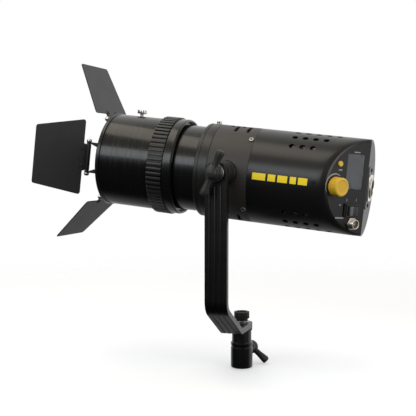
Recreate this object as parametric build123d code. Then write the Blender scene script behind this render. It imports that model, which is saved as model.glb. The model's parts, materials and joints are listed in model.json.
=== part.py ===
# Ellipsoidal spotlight: a tubular LED profile lamp with four barn doors, carried by a
# single-armed yoke on a receiver for a 16 mm lighting stud.
# Row frame: origin at the mouth of the receiver on its bore axis, +Z up, +X toward the
# control panel at the back of the lamp, -Y toward the yoke arm. Millimetres.
# Lamp frame: origin on the lamp axis just under the tilt axis, +X along the lamp axis to the
# back. Its stations are distances along that axis, and it is pitched by rest_pitch.
from build123d import *
from math import atan2, cos, radians, sin, sqrt
import os

# Placing of the lamp
lamp_height = 232.0
lamp_offset = -15.0
rest_pitch = 6.2
case_turn = 2.2
tilt_height = 233.5

# Lamp tube, as stations along the lamp axis and radii
body_radius = 54.5
body_wall = 2.5
ridge_station = 150.0
ridge_offset = -3.8
facet_angle = 36.2
seam_station = 25.0
flange_rear = -22.8
flange_front = -37.9
collar_rear = -63.7
knurl_rear = -75.5
knurl_front = -94.0
barrel_front = -154.0
door_front = -159.0
inner_tube_radius = 50.0
inner_tube_front = -100.0
running_gap = 0.1
moving_gap = 0.3

# Control panel, measured on the slanted face from the ridge and from the lamp axis
panel_thickness = 2.5
screen_size = (26.2, 38.0)
screen_place = (-20.1, 17.2)
dial_place = (-48.5, 0.0)
dial_radius = 10.4
dial_height = 11.1
button_place = (-44.3, 24.6)
button_radius = 3.0
button_travel = 1.0
rocker_place = (-17.4, -26.2)
rocker_size = (15.5, 10.5)
rocker_rest = 8.0
slot_place = (-31.0, -25.5)
slot_size = (3.2, 15.2)
jack_place = (-18.0, -40.3)
jack_radius = 5.65
connector_offset = 13.0
connector_radius = 12.0
connector_reach = 4.6

# Vents of the rear housing: rows about the crown, and the same rows about the keel
vent_diameter = 6.4
vent_pitch = 11.8
vent_start = 68.2
vent_rows = ((42.6, 3), (59.8, 4), (77.0, 5), (103.0, 5), (120.2, 4), (137.4, 3))

# Slots of the front housing, as station and starting angle
slot_span = 19.5
slot_width = 4.0
slot_places = (
    (-1.8, 59.0), (12.6, 59.0), (-9.3, 73.8), (4.3, 73.8), (-1.8, 101.5), (12.6, 101.5),
    (-1.8, -78.5), (12.6, -78.5), (-1.8, -121.0), (12.6, -121.0),
)

# Barn doors
hinge_radius = 47.1
leaf_start = 6.8
leaf_length = 63.2
leaf_inner_width = 88.8
leaf_sheet = 1.2
leaf_tab = 30.0
knuckle_length = 31.0
hinge_rod_radius = 1.5
# Each door's angle round the lamp, opening, hinge station and outer width
leaf_places = {
    "top": (90.0, 62.2, -164.2, 71.0), "near": (0.0, 56.2, -171.8, 66.0),
    "bottom": (-90.0, 49.6, -164.2, 71.0), "far": (180.0, 56.2, -171.8, 66.0),
}

# Yoke
arm_width = 25.6
arm_thickness = 7.1
arm_outer = 103.8
arm_bend_height = 84.4
plate_underside = 47.4
plate_bend = 42.0
rib_count = 4
rib_groove = 1.8
rib_depth = 0.8
bolt_radius = 4.9
bolt_hole = 5.1

# Receiver for a 16 mm stud
receiver_radius = 13.0
receiver_length = 30.6
stud_bore = 8.05
bore_depth = 33.0
lock_height = 18.5
lock_azimuth = 82.5
lock_lean = 38.0
handle_lean = 23.5

slope = radians(facet_angle)
head = Location((0, lamp_offset, lamp_height), (0, rest_pitch, 0))
slant = Location(Plane(
    origin=(ridge_station, ridge_offset, 0),
    x_dir=(sin(slope), cos(slope), 0),
    z_dir=(cos(slope), -sin(slope), 0),
))
facet = head * slant
rear_face = head * Location(Plane(origin=(ridge_station, 0, 0), x_dir=(0, 1, 0), z_dir=(1, 0, 0)))
tilt_axis = Location(Plane(origin=(0, 0, tilt_height), x_dir=(0, 0, 1), z_dir=(0, -1, 0)))
nodes = {}


def node(function):
    # Each sub-part is one function with the node's name.
    nodes[function.__name__] = function
    return function


def turned(points, angle=360.0):
    # Solid of revolution about the lamp axis from (station, radius) points.
    outline = Polyline(*[(station, 0, radius) for station, radius in points], close=True)
    return revolve(make_face(outline), Axis.X, angle)


def ring(front, rear, inner, outer, bevel=0.0):
    # Plain ring about the lamp axis, with its outer edges bevelled.
    return turned([
        (front, inner), (rear, inner), (rear, outer - bevel), (rear - bevel, outer),
        (front + bevel, outer), (front, outer - bevel),
    ] if bevel else [(front, inner), (rear, inner), (rear, outer), (front, outer)])


def disc(front, rear, radius):
    return turned([(front, 0), (rear, 0), (rear, radius), (front, radius)])


def spun(points):
    # Solid of revolution about Z from (radius, height) points.
    outline = Polyline(*[(radius, 0, height) for radius, height in points], close=True)
    return revolve(make_face(outline), Axis.Z, 360)


def column(radius, low, high, hole=0.0):
    # Cylinder along Z between two heights, with a hole through it.
    solid = Pos(0, 0, low) * Cylinder(radius, high - low, align=(Align.CENTER, Align.CENTER, Align.MIN))
    if hole:
        solid -= Pos(0, 0, low) * Cylinder(hole, high - low, align=(Align.CENTER, Align.CENTER, Align.MIN))
    return solid


def block(width, depth, low, high):
    # Box centred in plan between two heights.
    return Pos(0, 0, low) * Box(width, depth, high - low, align=(Align.CENTER, Align.CENTER, Align.MIN))


def around(angle):
    # Turns a piece built at the crown to an angle from the arm side up to the crown.
    return Rot(90.0 - case_turn - angle, 0, 0)


def crown(station, radius, angle):
    # Place on the tube, with local Z pointing out of the tube.
    return around(angle) * Pos(station, 0, radius)


def group(solids):
    return Compound(children=list(solids))


def screw(head_radius, head_height, shank_radius, shank_length):
    # Cap screw with a hexagon socket, seated on z = 0.
    body = column(head_radius, 0, head_height) + column(shank_radius, -shank_length, 0)
    socket_depth = head_height * 0.6
    socket = extrude(RegularPolygon(head_radius * 0.5, 6), socket_depth)
    return body - Pos(0, 0, head_height - socket_depth) * socket


def wing_handle(bore_radius, bore_length):
    # Tee handle along X on a hub that stands on z = 0 and points along +Z.
    bar_height = 10.5
    bar_reach = 21.5
    waist_radius = 3.6
    club_radius = 4.8
    handle = spun([
        (0, 0), (8.2, 0), (8.2, 1.4), (7.2, 2.2), (6.8, 6.2), (8.0, 8.0), (8.0, 12.6),
        (6.2, 13.8), (6.0, 16.2), (4.2, 17.5), (0, 18.0),
    ])
    for side in (0, 180):
        lobe = Rot(0, 90, 0) * Pos(0, 0, bar_reach / 2) * Cone(waist_radius, club_radius, bar_reach)
        lobe += Pos(bar_reach, 0, 0) * Sphere(club_radius)
        handle += Pos(0, 0, bar_height) * Rot(0, 0, side) * lobe
    return handle - column(bore_radius, 0, bore_length)


# Receiver: the fixed body

lock_axis = Location(Plane(
    origin=(0, 0, lock_height),
    x_dir=(
        cos(radians(lock_lean)) * sin(radians(lock_azimuth)),
        -cos(radians(lock_lean)) * cos(radians(lock_azimuth)),
        -sin(radians(lock_lean)),
    ),
    z_dir=(cos(radians(lock_azimuth)), sin(radians(lock_azimuth)), 0),
))
boss_reach = 19.5
stud_foot = 36.5
disc_thickness = 2.6


@node
def receiver_body():
    neck = 11.6
    neck_top = plate_underside - disc_thickness
    body = spun([
        (0, 0), (receiver_radius - 1.2, 0), (receiver_radius, 1.2), (receiver_radius, 24.5),
        (receiver_radius - 0.6, 25.1), (receiver_radius - 0.6, 26.5), (receiver_radius, 27.1),
        (receiver_radius, receiver_length - 0.8), (neck, receiver_length), (neck, neck_top), (0, neck_top),
    ])
    body += lock_axis * column(7.6, stud_bore, boss_reach)
    body -= column(stud_bore, 0, bore_depth)
    body -= lock_axis * column(5.0, 0, boss_reach)
    return body - column(5.0, stud_foot, plate_underside)


@node
def pan_disc():
    return column(12.6, plate_underside - disc_thickness, plate_underside - 0.1, hole=5.0)


@node
def pan_stud():
    return column(5.0, stud_foot, 63.5) - Pos(0, 0, 62.5) * extrude(RegularPolygon(2.6, 6), 1.0)


@node
def lock_screw():
    return lock_axis * column(bolt_radius, stud_bore + 0.6, 32.0)


@node
def lock_handle():
    return lock_axis * Pos(0, 0, 20.2) * wing_handle(bolt_radius, 11.8)


# Yoke

arm_centre = arm_outer - arm_thickness / 2
plate_centre = plate_underside + arm_thickness / 2
arm_inner = arm_outer - arm_thickness
upper_bend = 16.0
lower_bend = 9.0


def strap(start, end, bends, thickness, width, offset=0.0):
    # Flat bar following the yoke's bends, moved outward by offset from its middle line.
    drop = atan2(arm_bend_height - plate_centre, arm_centre - plate_bend)
    arm_shift = offset * (1 - sin(drop)) / cos(drop)
    plate_shift = offset * (1 - cos(drop)) / sin(drop)
    line = FilletPolyline(
        (0, -arm_centre - offset, start), (0, -arm_centre - offset, arm_bend_height - arm_shift),
        (0, -plate_bend - plate_shift, plate_centre - offset), (0, end, plate_centre - offset),
        radius=bends,
    )
    corner = Plane(origin=(0, -arm_centre - offset, start), x_dir=(1, 0, 0), z_dir=(0, 0, -1))
    return sweep(corner * Rectangle(width, thickness), path=line)


@node
def yoke_arm():
    round_end = arm_width / 2
    arm = strap(tilt_height, 0, (upper_bend, lower_bend), arm_thickness, arm_width)
    arm += tilt_axis * column(round_end, arm_inner, arm_outer)
    arm += column(round_end, plate_underside, plate_underside + arm_thickness)
    outer_bends = (upper_bend + arm_thickness / 2, lower_bend + arm_thickness / 2)
    pitch = arm_width / rib_count
    for index in range(1, rib_count):
        across = (index - rib_count / 2) * pitch
        groove = strap(tilt_height - 15, -16, outer_bends, 2 * rib_depth, rib_groove, arm_thickness / 2)
        arm -= Pos(across, 0, 0) * groove
    arm -= tilt_axis * column(bolt_hole, arm_inner - 1, arm_outer + 1)
    return arm - column(5.0 + running_gap, plate_underside - 1, plate_underside + arm_thickness + 1)


@node
def pan_washer():
    top = plate_underside + arm_thickness
    return column(8.8, top, top + 1.6, hole=5.0 + running_gap)


@node
def tilt_disc_yoke():
    # Stepped friction disc fixed to the inside of the arm.
    step = arm_inner - 3.5
    stack = column(11.0, step, arm_inner) + column(12.4, step - 3.6, step)
    return tilt_axis * (stack - column(bolt_hole, step - 4, arm_inner))


@node
def tilt_washer():
    return tilt_axis * column(9.6, arm_outer, arm_outer + 1.5, hole=bolt_hole)


# Knobs of the yoke

knob_low = 56.4
knob_high = 67.0


@node
def pan_knob():
    grip = 9.15
    outline = Circle(grip) - PolarLocations(grip, 24) * Circle(0.55)
    knob = extrude(Pos(0, 0, knob_low + 2.4) * outline, knob_high - knob_low - 2.4)
    knob &= spun([
        (0, knob_low), (grip, knob_low), (grip, knob_high - 0.8), (grip - 0.8, knob_high), (0, knob_high),
    ])
    knob += column(7.4, knob_low, knob_low + 2.4)
    knob -= column(6.4, knob_high - 1.8, knob_high)
    return knob - column(6.4, knob_low, knob_high - 2.8)


@node
def pan_knob_insert():
    return column(6.4, knob_low, knob_high - 2.8) - column(5.0 + running_gap, knob_low, knob_high - 3.2)


@node
def tilt_bolt():
    return tilt_axis * column(bolt_radius, boss_end - 10.0, arm_outer + 12.0)


@node
def tilt_handle():
    lean = tilt_axis * Rot(0, 0, -handle_lean)
    return lean * Pos(0, 0, arm_outer + 1.8) * wing_handle(bolt_radius, 10.2)


# Lamp housing

boss_end = arm_inner - 10.7
boss_radius = 13.5
boss_step = body_radius + 6.2
inner_radius = body_radius - body_wall
cavity_reach = 200.0


def tail(radius, front):
    # Rod about the lamp axis that ends in the slanted panel face and the square rear face.
    rod = disc(front, ridge_station, radius)
    cutter = slant * block(cavity_reach, cavity_reach, 0, cavity_reach)
    far_side = Pos(0, ridge_offset + cavity_reach / 2, 0) * Box(2 * cavity_reach, cavity_reach, cavity_reach)
    return rod - (cutter - far_side)


def side_screw_places(station, radius, angles):
    return [crown(station, radius, angle) for angle in angles]


seat_radius = body_radius - 0.3
housing_screw_places = side_screw_places(21.5, seat_radius, (45.2, 134.8, -45.2, -134.8))
flange_screw_places = side_screw_places(-29.5, seat_radius, (88, 165, 235))
cover_screw_places = side_screw_places(99.6, seat_radius, (0, 180))


def screw_seats(places, head_radius, shank_radius, shank_length):
    seat = column(head_radius + 0.2, 0, 3) + column(shank_radius, -shank_length, 0)
    return [place * seat for place in places]


@node
def rear_housing():
    shell = tail(body_radius, seam_station) - disc(seam_station, cavity_reach, inner_radius)
    hole = Cylinder(vent_diameter / 2, 12)
    holes = []
    for side in (1, -1):
        for angle, count in vent_rows:
            for index in range(count):
                holes.append(crown(vent_start + index * vent_pitch, body_radius, side * angle) * hole)
    shell -= holes
    shell -= screw_seats(cover_screw_places, 2.2, 1.3, 3)
    return head * shell


@node
def front_housing():
    shell = ring(flange_rear, seam_station, body_radius - 3.0, body_radius)
    half = slot_width / 2
    slot = turned([(-half, 49), (half, 49), (half, 60), (-half, 60)], slot_span)
    for station, start in slot_places:
        shell -= Pos(station, 0, 0) * around(start + slot_span) * slot
    shell -= screw_seats(housing_screw_places, 2.6, 1.5, 3)
    boss_hole = column(boss_radius, body_radius - 4 - lamp_offset, boss_step - lamp_offset)
    return head * shell - tilt_axis * boss_hole


@node
def tilt_boss():
    # Stepped boss through the wall, with a tapped hole for the tilt bolt.
    foot = body_radius - 3.0 - lamp_offset
    step = boss_step - lamp_offset
    boss = column(boss_radius, foot, step) + column(12.0, step, boss_end)
    boss -= column(5.0, boss_end - 12.0, boss_end)
    return tilt_axis * boss


@node
def tilt_disc_lamp():
    return tilt_axis * column(11.2, boss_end, arm_inner - 7.3, hole=5.0)


@node
def front_flange():
    flange = ring(flange_front, flange_rear, inner_tube_radius, body_radius + 0.1, 1.0)
    flange -= screw_seats(flange_screw_places, 3.0, 1.5, 3)
    return head * flange


@node
def inner_tube():
    return head * ring(inner_tube_front, flange_rear, inner_tube_radius - 2.0, inner_tube_radius)


@node
def case_screws():
    screws = [place * screw(2.6, 1.8, 1.5, 3) for place in housing_screw_places]
    screws += [place * screw(3.0, 3.6, 1.5, 3) for place in flange_screw_places]
    return group(head * item for item in screws)


# Rear panels and controls

rocker_hole = (17.1, 11.8)
rocker_frame = (20.5, 14.6)
connector_plate_size = (30.0, 48.0)
plate_screw_reach = 20.0
rear_skin = 1.2


@node
def control_panel():
    panel = block(cavity_reach, cavity_reach, -panel_thickness, 0)
    for place, cutter in (
        (screen_place, Box(*screen_size, 20)),
        (dial_place, Cylinder(3.2, 20)),
        (button_place, Cylinder(button_radius + 0.15, 20)),
        (rocker_place, Box(*rocker_hole, 20)),
        (slot_place, Box(*slot_size, 20)),
        (jack_place, Cylinder(jack_radius, 20)),
    ):
        panel -= Pos(*place, 0) * cutter
    near_half = Pos(0, ridge_offset - cavity_reach / 2, 0) * Box(3 * cavity_reach, cavity_reach, cavity_reach)
    return (facet * panel) & (head * (disc(50, cavity_reach, inner_radius) & near_half))


@node
def rear_plate():
    plate = column(inner_radius, -panel_thickness, 0)
    plate &= Pos(ridge_offset + inner_radius, 0, 0) * Box(2 * inner_radius, 2 * inner_radius, 10)
    plate -= Pos(connector_offset, 0, 0) * Cylinder(connector_radius - 1, 20)
    for side in (1, -1):
        plate -= Pos(connector_offset, side * plate_screw_reach, 0) * Cylinder(1.3, 20)
    return rear_face * plate


@node
def connector_plate():
    plate = block(*connector_plate_size, 0, rear_skin)
    plate -= Cylinder(connector_radius - 1, 10)
    for side in (1, -1):
        plate -= Pos(0, side * plate_screw_reach, 0) * Cylinder(1.3, 10)
    return rear_face * Pos(connector_offset, 0, 0) * plate


@node
def cover_screws():
    # Dark screws of the rear housing and of the connector plate.
    places = [head * place for place in cover_screw_places]
    for side in (1, -1):
        places.append(rear_face * Pos(connector_offset, side * plate_screw_reach, rear_skin))
    return group(place * screw(2.2, 1.0, 1.3, 3) for place in places)


@node
def connector_shell():
    flange = block(26, 30, rear_skin, rear_skin + 1.5)
    flange = fillet(flange.edges().filter_by(Axis.Z), 3.0)
    shell = flange + column(connector_radius, rear_skin, connector_reach)
    shell += column(connector_radius - 1, -16, rear_skin)
    shell -= column(10.2, -12, 10)
    shell -= Pos(0, 9.6, connector_reach - 0.4) * Box(6.4, 6.4, 3.0)
    return rear_face * Pos(connector_offset, 0, 0) * shell


@node
def connector_insert():
    insert = column(10.2, -12, rear_skin + 1.2)
    insert -= Pos(0, 0.4, 0) * block(12.0, 8.4, -9, rear_skin + 3)
    insert -= Pos(0, -4.8, 0) * block(5.0, 3.0, -9, rear_skin + 3)
    return rear_face * Pos(connector_offset, 0, 0) * insert


@node
def connector_latch():
    tab = Pos(0, 10.0, connector_reach - 0.5) * Box(5.4, 3.4, 2.2)
    return rear_face * Pos(connector_offset, 0, 0) * fillet(tab.edges().filter_by(Axis.Z), 0.8)


@node
def screen_window():
    return facet * Pos(*screen_place, 0) * block(*screen_size, -1.6, -0.2)


@node
def screen_module():
    width, height = screen_size
    return facet * Pos(*screen_place, 0) * (
        block(width, height, -panel_thickness, -1.6) + block(width + 2, height + 2, -7.5, -panel_thickness)
    )


@node
def encoder_shaft():
    return facet * Pos(*dial_place, 0) * column(3.0, -9.0, 8.0)


@node
def control_dial():
    base = 0.6
    top = base + dial_height
    dial = spun([
        (0, base), (dial_radius, base), (dial_radius, top - 1.2), (dial_radius - 1.2, top),
        (dial_radius - 2.4, top), (dial_radius - 3.2, top - 0.4), (0, top - 0.4),
    ])
    return facet * Pos(*dial_place, 0) * (dial - column(3.0, base, 8.0))


@node
def menu_button():
    button = spun([
        (0, -3.4), (button_radius, -3.4), (button_radius, 1.5), (button_radius - 0.5, 2.0), (0, 2.2),
    ])
    return facet * Pos(*button_place, 0) * button


@node
def switch_frame():
    frame = block(*rocker_frame, 0, 1.2) + block(*rocker_hole, -12, 0)
    cavity = (rocker_size[0] + 0.6, rocker_size[1] + 0.5)
    return facet * Pos(*rocker_place, 0) * (frame - block(*cavity, -10, 2))


@node
def power_rocker():
    width, height = rocker_size
    outline = Polyline(
        (1.3 - width / 2, 0, -4.0), (width / 2 - 1.3, 0, -4.0), (width / 2, 0, 2.6), (0, 0, 1.2),
        (-width / 2, 0, 2.6), close=True,
    )
    rocker = extrude(make_face(outline), height / 2, both=True)
    return facet * Pos(*rocker_place, 0) * Rot(0, rocker_rest, 0) * rocker


@node
def service_port():
    width, height = slot_size
    port = block(width + 2.4, height + 2.4, -11, -panel_thickness)
    port += block(width, height, -panel_thickness, -0.4)
    return facet * Pos(*slot_place, 0) * (port - block(width - 1.6, height - 1.8, -9, 0))


@node
def jack_body():
    jack = column(jack_radius, -11, 8.0) - column(4.0, -3, 8.0)
    for turn in range(4):
        groove = column(jack_radius + 1, 3.4 + turn, 3.8 + turn) - column(jack_radius - 0.35, 3, 8)
        jack -= groove
    jack += column(1.1, -3, 6.0)
    return facet * Pos(*jack_place, 0) * jack


@node
def jack_nut():
    nut = extrude(RegularPolygon(7.4, 6), 2.4) - Cylinder(jack_radius, 10)
    return facet * Pos(*jack_place, 0) * nut


# Inside the lamp

@node
def control_board():
    # Circuit board behind the panel, with the dial's encoder on it.
    board = Pos(-34, 16, 0) * block(58, 62, -11.6, -10.0)
    board += Pos(*dial_place, 0) * block(12, 12, -10.0, -panel_thickness)
    board -= Pos(*dial_place, 0) * column(3.0 + running_gap, -9.4, 0)
    return (facet * board) & (head * disc(60, cavity_reach, inner_radius - 0.5))


@node
def driver_board():
    board = Pos(117, 20, 0) * Box(1.6, 50, 80)
    for height in (-18, 8):
        board += Pos(119.8, 22, height) * Box(4.0, 16, 14)
    return head * (board & disc(110, 125, inner_radius - 1.5))


@node
def fan_frame():
    frame = Pos(105.5, 0, 0) * Box(13, 70, 70)
    frame -= disc(90, 110, 33.0)
    window = disc(110, 113, 33.0) - disc(110, 113, 15)
    for size in ((4, 70, 5), (4, 5, 70)):
        window -= Pos(111, 0, 0) * Box(*size)
    frame -= window
    frame += disc(110, 112, 15)
    return head * frame


@node
def fan_rotor():
    blades = 7
    rotor = disc(99.6, 109.4, 13.5)
    for index in range(blades):
        blade = Pos(104.5, 0, 21.5) * Rot(0, 0, 38) * Box(10.5, 1.6, 19)
        rotor += Rot(360 * index / blades, 0, 0) * blade
    return head * rotor


@node
def heat_sink():
    fin_pitch = 7.0
    sink = disc(50, 56, 46)
    for index in range(-6, 7):
        sink += Pos(75, index * fin_pitch, 0) * Box(38, 1.8, 100) & disc(56, 94, 47)
    return head * sink


@node
def led_engine():
    return head * (disc(48.2, 50, 24) + disc(46.6, 48.2, 11))


@node
def reflector():
    return head * turned([(46.4, 12.5), (46.4, 14.0), (14.5, 38.0), (14.5, 51.5), (13.0, 51.5), (13.0, 36.5)])


@node
def gate_plate():
    return head * ring(-12.0, -10.0, 30.0, 51.5)


def lens(front, rear, radius, front_bulge, rear_bulge):
    # Glass with spherical faces, given as the height of each face above its rim.
    steps = 8
    outline = []
    for bulge, station, sign in ((front_bulge, front, -1), (rear_bulge, rear, 1)):
        sphere = (radius ** 2 + bulge ** 2) / (2 * bulge)
        face = []
        for index in range(steps + 1):
            height = radius * index / steps
            face.append((station + sign * (sqrt(sphere ** 2 - height ** 2) - sphere + bulge), height))
        outline += face if sign < 0 else face[::-1]
    return turned(outline)


@node
def rear_lens():
    return head * lens(-60.0, -55.0, inner_tube_radius - 2.0, 5.0, 0.5)


# Lens barrel and focus ring

barrel_inner = 51.5
barrel_step = 53.3
guide_front = -92.0
guide_radius = inner_tube_radius + running_gap
tube_rear = -68.0
screw_station = -128.0


@node
def barrel_tube():
    tube = turned([
        (barrel_front, barrel_inner), (guide_front, barrel_inner), (guide_front, guide_radius),
        (tube_rear, guide_radius), (tube_rear, barrel_step), (knurl_front, barrel_step),
        (knurl_front, body_radius), (barrel_front + 0.6, body_radius), (barrel_front, body_radius - 0.6),
    ])
    tube -= Pos(screw_station, 0, body_radius) * Cylinder(2.0, 10)
    return head * tube


@node
def barrel_collar():
    collar = turned([
        (knurl_rear + moving_gap, barrel_step), (collar_rear, barrel_step), (collar_rear, 55.0),
        (collar_rear - 1.2, 56.2), (knurl_rear + moving_gap, 56.2),
    ])
    return head * collar


@node
def lens_cell():
    cell = ring(-149.0, -128.5, 47.0, barrel_inner)
    return head * (cell - disc(-147.0, -133.0, 49.0))


@node
def front_lens():
    return head * lens(-141.0, -137.0, 49.0, 5.5, 3.5)


@node
def focus_ring():
    grip = 57.6
    ridges = 64
    groove = Rectangle(2.6, 1.9)
    outline = Circle(grip) - Circle(barrel_step + running_gap) - PolarLocations(grip, ridges) * groove
    front = knurl_front + moving_gap
    knurl = Pos(front, 0, 0) * Rot(0, 90, 0) * extrude(outline, knurl_rear - front)
    return head * (knurl & ring(front, knurl_rear, barrel_step, grip, 1.0))


@node
def barrel_screw():
    post = column(1.95, 51.7, 57.5)
    grip = extrude(Circle(5.6) - PolarLocations(5.6, 16) * Circle(0.4), 4.4)
    return head * Pos(screw_station, 0, 0) * (post + Pos(0, 0, 57.5) * grip)


# Barn doors

strut_outer = 18.0
strut_inner = 15.7
strut_foot = 12.0
strut_neck = 3.2
strut_sheet = 1.4
nut_offset = 19.9
nut_width = 3.8


def hinge_place(side):
    # Local Y along the hinge, local Z away from the lamp axis, origin on the hinge.
    angle, _, station, _ = leaf_places[side]
    return head * Rot(90.0 - angle, 0, 0) * Pos(station, 0, hinge_radius)


@node
def door_ring():
    rim = turned([
        (door_front, 46.0), (barrel_front - 0.2, 46.0), (barrel_front - 0.2, 55.4), (door_front + 1.0, 55.4),
        (door_front, 54.4),
    ])
    return head * (rim + ring(barrel_front - 0.2, -149.6, 48.4, barrel_inner - running_gap))


@node
def hinge_struts():
    # Flat forked brackets from the ring to the hinges, with an eye round each rod end.
    struts = []
    middle = (strut_inner + strut_outer) / 2
    for side, (_, _, station, _) in leaf_places.items():
        reach = door_front - station
        for mirror in (1, -1):
            outline = Polyline(
                (0, mirror * strut_inner), (strut_neck, mirror * strut_inner), (reach, mirror * strut_foot),
                (reach, mirror * strut_outer), (0, mirror * strut_outer), close=True,
            )
            strut = extrude(make_face(outline), strut_sheet / 2, both=True)
            across = Pos(0, mirror * middle, 0) * Rot(90, 0, 0)
            strut += across * Cylinder(2.8, strut_outer - strut_inner)
            strut -= across * Cylinder(hinge_rod_radius, 10)
            struts.append(hinge_place(side) * strut)
    return group(struts)


@node
def hinge_pins():
    # One rod per door, with a round nut on each end.
    pin = Rot(90, 0, 0) * Cylinder(hinge_rod_radius, 2 * nut_offset)
    nut = Sphere(3.2) & Box(10, nut_width, 10)
    for side in (1, -1):
        pin += Pos(0, side * nut_offset, 0) * nut
    return group(hinge_place(side) * pin for side in leaf_places)


def leaf(side):
    # Sheet metal door with its knuckle round the hinge rod, swung open by its rest angle.
    _, opening, _, outer_width = leaf_places[side]
    inner = leaf_inner_width / 2
    outer = outer_width / 2
    end = leaf_start + leaf_length
    corners = ((leaf_start, -inner), (end, -outer), (end, outer), (leaf_start, inner))
    sheet = make_face(Polyline(*corners, close=True))
    sheet = fillet(sheet.vertices(), 3.0)
    sheet += Pos(leaf_start / 2 + 1, 0) * Rectangle(leaf_start + 2, leaf_tab)
    door = extrude(sheet, leaf_sheet / 2, both=True)
    door += Rot(90, 0, 0) * Cylinder(2.7, knuckle_length)
    door -= Rot(90, 0, 0) * Cylinder(hinge_rod_radius + running_gap, knuckle_length + 2)
    swing = radians(opening)
    plane = Plane(origin=(0, 0, 0), x_dir=(-cos(swing), 0, sin(swing)), z_dir=(sin(swing), 0, cos(swing)))
    return hinge_place(side) * Location(plane) * door


@node
def leaf_top():
    return leaf("top")


@node
def leaf_near():
    return leaf("near")


@node
def leaf_bottom():
    return leaf("bottom")


@node
def leaf_far():
    return leaf("far")


os.makedirs("parts", exist_ok=True)
for name, build in nodes.items():
    export_step(build(), f"parts/{name}.step")
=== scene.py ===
import json
from math import acos, cos, pi, radians, sin, sqrt, tan

import bpy
import bmesh
from mathutils import Matrix, Vector


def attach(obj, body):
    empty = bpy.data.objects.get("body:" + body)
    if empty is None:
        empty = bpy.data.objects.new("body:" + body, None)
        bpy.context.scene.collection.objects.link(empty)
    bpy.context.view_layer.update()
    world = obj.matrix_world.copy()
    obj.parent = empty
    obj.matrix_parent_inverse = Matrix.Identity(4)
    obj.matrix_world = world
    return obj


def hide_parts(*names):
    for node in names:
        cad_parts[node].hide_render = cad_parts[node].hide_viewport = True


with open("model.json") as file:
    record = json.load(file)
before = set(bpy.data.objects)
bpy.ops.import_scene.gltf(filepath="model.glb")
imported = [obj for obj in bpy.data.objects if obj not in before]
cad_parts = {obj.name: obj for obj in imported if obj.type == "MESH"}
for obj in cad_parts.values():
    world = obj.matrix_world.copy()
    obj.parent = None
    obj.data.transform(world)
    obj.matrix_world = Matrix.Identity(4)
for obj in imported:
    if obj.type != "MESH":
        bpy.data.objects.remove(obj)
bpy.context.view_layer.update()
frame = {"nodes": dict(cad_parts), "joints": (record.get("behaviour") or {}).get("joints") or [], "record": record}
nodes = frame["nodes"]
joints = {joint["name"]: joint for joint in frame["joints"]}
mm = 0.001
identity = Matrix.Identity(4)


# Places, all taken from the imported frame

def placeOf(origin, xAxis, zAxis):
    # Matrix with local Z along zAxis and local X as near xAxis as it can be
    z = Vector(zAxis).normalized()
    y = z.cross(Vector(xAxis)).normalized()
    return Matrix.Translation(Vector(origin)) @ Matrix((y.cross(z), y, z)).transposed().to_4x4()


def extent(name, place=identity):
    # Lowest and highest corner of a CAD node in a local frame, in millimetres
    inverse = place.inverted()
    points = [inverse @ vertex.co for vertex in nodes[name].data.vertices]
    low = Vector([min(point[i] for point in points) for i in range(3)])
    high = Vector([max(point[i] for point in points) for i in range(3)])
    return low / mm, high / mm


def middle(name, place):
    low, high = extent(name, place)
    return (low + high) / 2


def moved(place, x=0.0, y=0.0, z=0.0):
    return place @ Matrix.Translation(Vector((x, y, z)) * mm)


def spun(angle, axis, place=identity):
    # Place turned about one of its own axes, in degrees
    return place @ Matrix.Rotation(radians(angle), 4, axis)


def spotOn(x, y, z=0.0):
    return Matrix.Translation(Vector((x, y, z)) * mm)


caseTurn = 2.2  # the case's fittings are set round the tube by this much, arm side up
lampBack = Vector(joints["barrel_slide"]["axis"])
lampUp = lampBack.cross(Vector((0, 1, 0)))
focusPoint = Vector(joints["focus_turn"]["pos_m"])
lampOrigin = focusPoint - lampBack * (focusPoint.x / lampBack.x)
lamp = placeOf(lampOrigin, (0, 0, -1), lampBack)  # local Z to the back, local X down, local Y away from the arm
tiltPoint = (0, 0, joints["head_tilt"]["pos_m"][2])
tilt = placeOf(tiltPoint, (0, 0, 1), (0, -1, 0))  # local Z out through the arm, local X up
ridge = extent("rear_plate", lamp)[1].z
ridgeOffset = extent("rear_plate", lamp)[0].y
panelOut = Vector(joints["dial_turn"]["axis"])
ridgePoint = lamp @ Vector((0, ridgeOffset * mm, ridge * mm))
panel = placeOf(ridgePoint, lampUp.cross(panelOut), panelOut)  # local X to the ridge, local Y up
rearFace = placeOf(lamp @ Vector((0, 0, ridge * mm)), (0, 1, 0), lampBack)


def onLamp(station, radius, angle):
    # Place on the tube: local Z out, local X to the back. The angle runs from the arm side to the crown
    turn = radians(angle + caseTurn)
    out = Vector((0, -cos(turn), 0)) + lampUp * sin(turn)
    point = lamp @ Vector((0, 0, station * mm)) + out * radius * mm
    return placeOf(point, lampBack, out)


# Shader values and finishes

class Value:
    # One output socket, so that shader maths can be written as expressions
    def __init__(self, finish, socket):
        self.finish = finish
        self.socket = socket

    def maths(self, operation, *values):
        return self.finish.add("ShaderNodeMath", {"operation": operation}, dict(enumerate(values)))

    def __add__(self, other):
        return self.maths("ADD", self, other)

    __radd__ = __add__

    def __sub__(self, other):
        return self.maths("SUBTRACT", self, other)

    def __rsub__(self, other):
        return self.maths("SUBTRACT", other, self)

    def __mul__(self, other):
        return self.maths("MULTIPLY", self, other)

    __rmul__ = __mul__

    def above(self, edge, width):
        # Soft step from 0 to 1 across width, centred on edge
        return self.finish.add("ShaderNodeMapRange", {"interpolation_type": "SMOOTHSTEP"}, {
            "Value": self, "From Min": edge - width / 2, "From Max": edge + width / 2,
        })


finishes = {}


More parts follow.
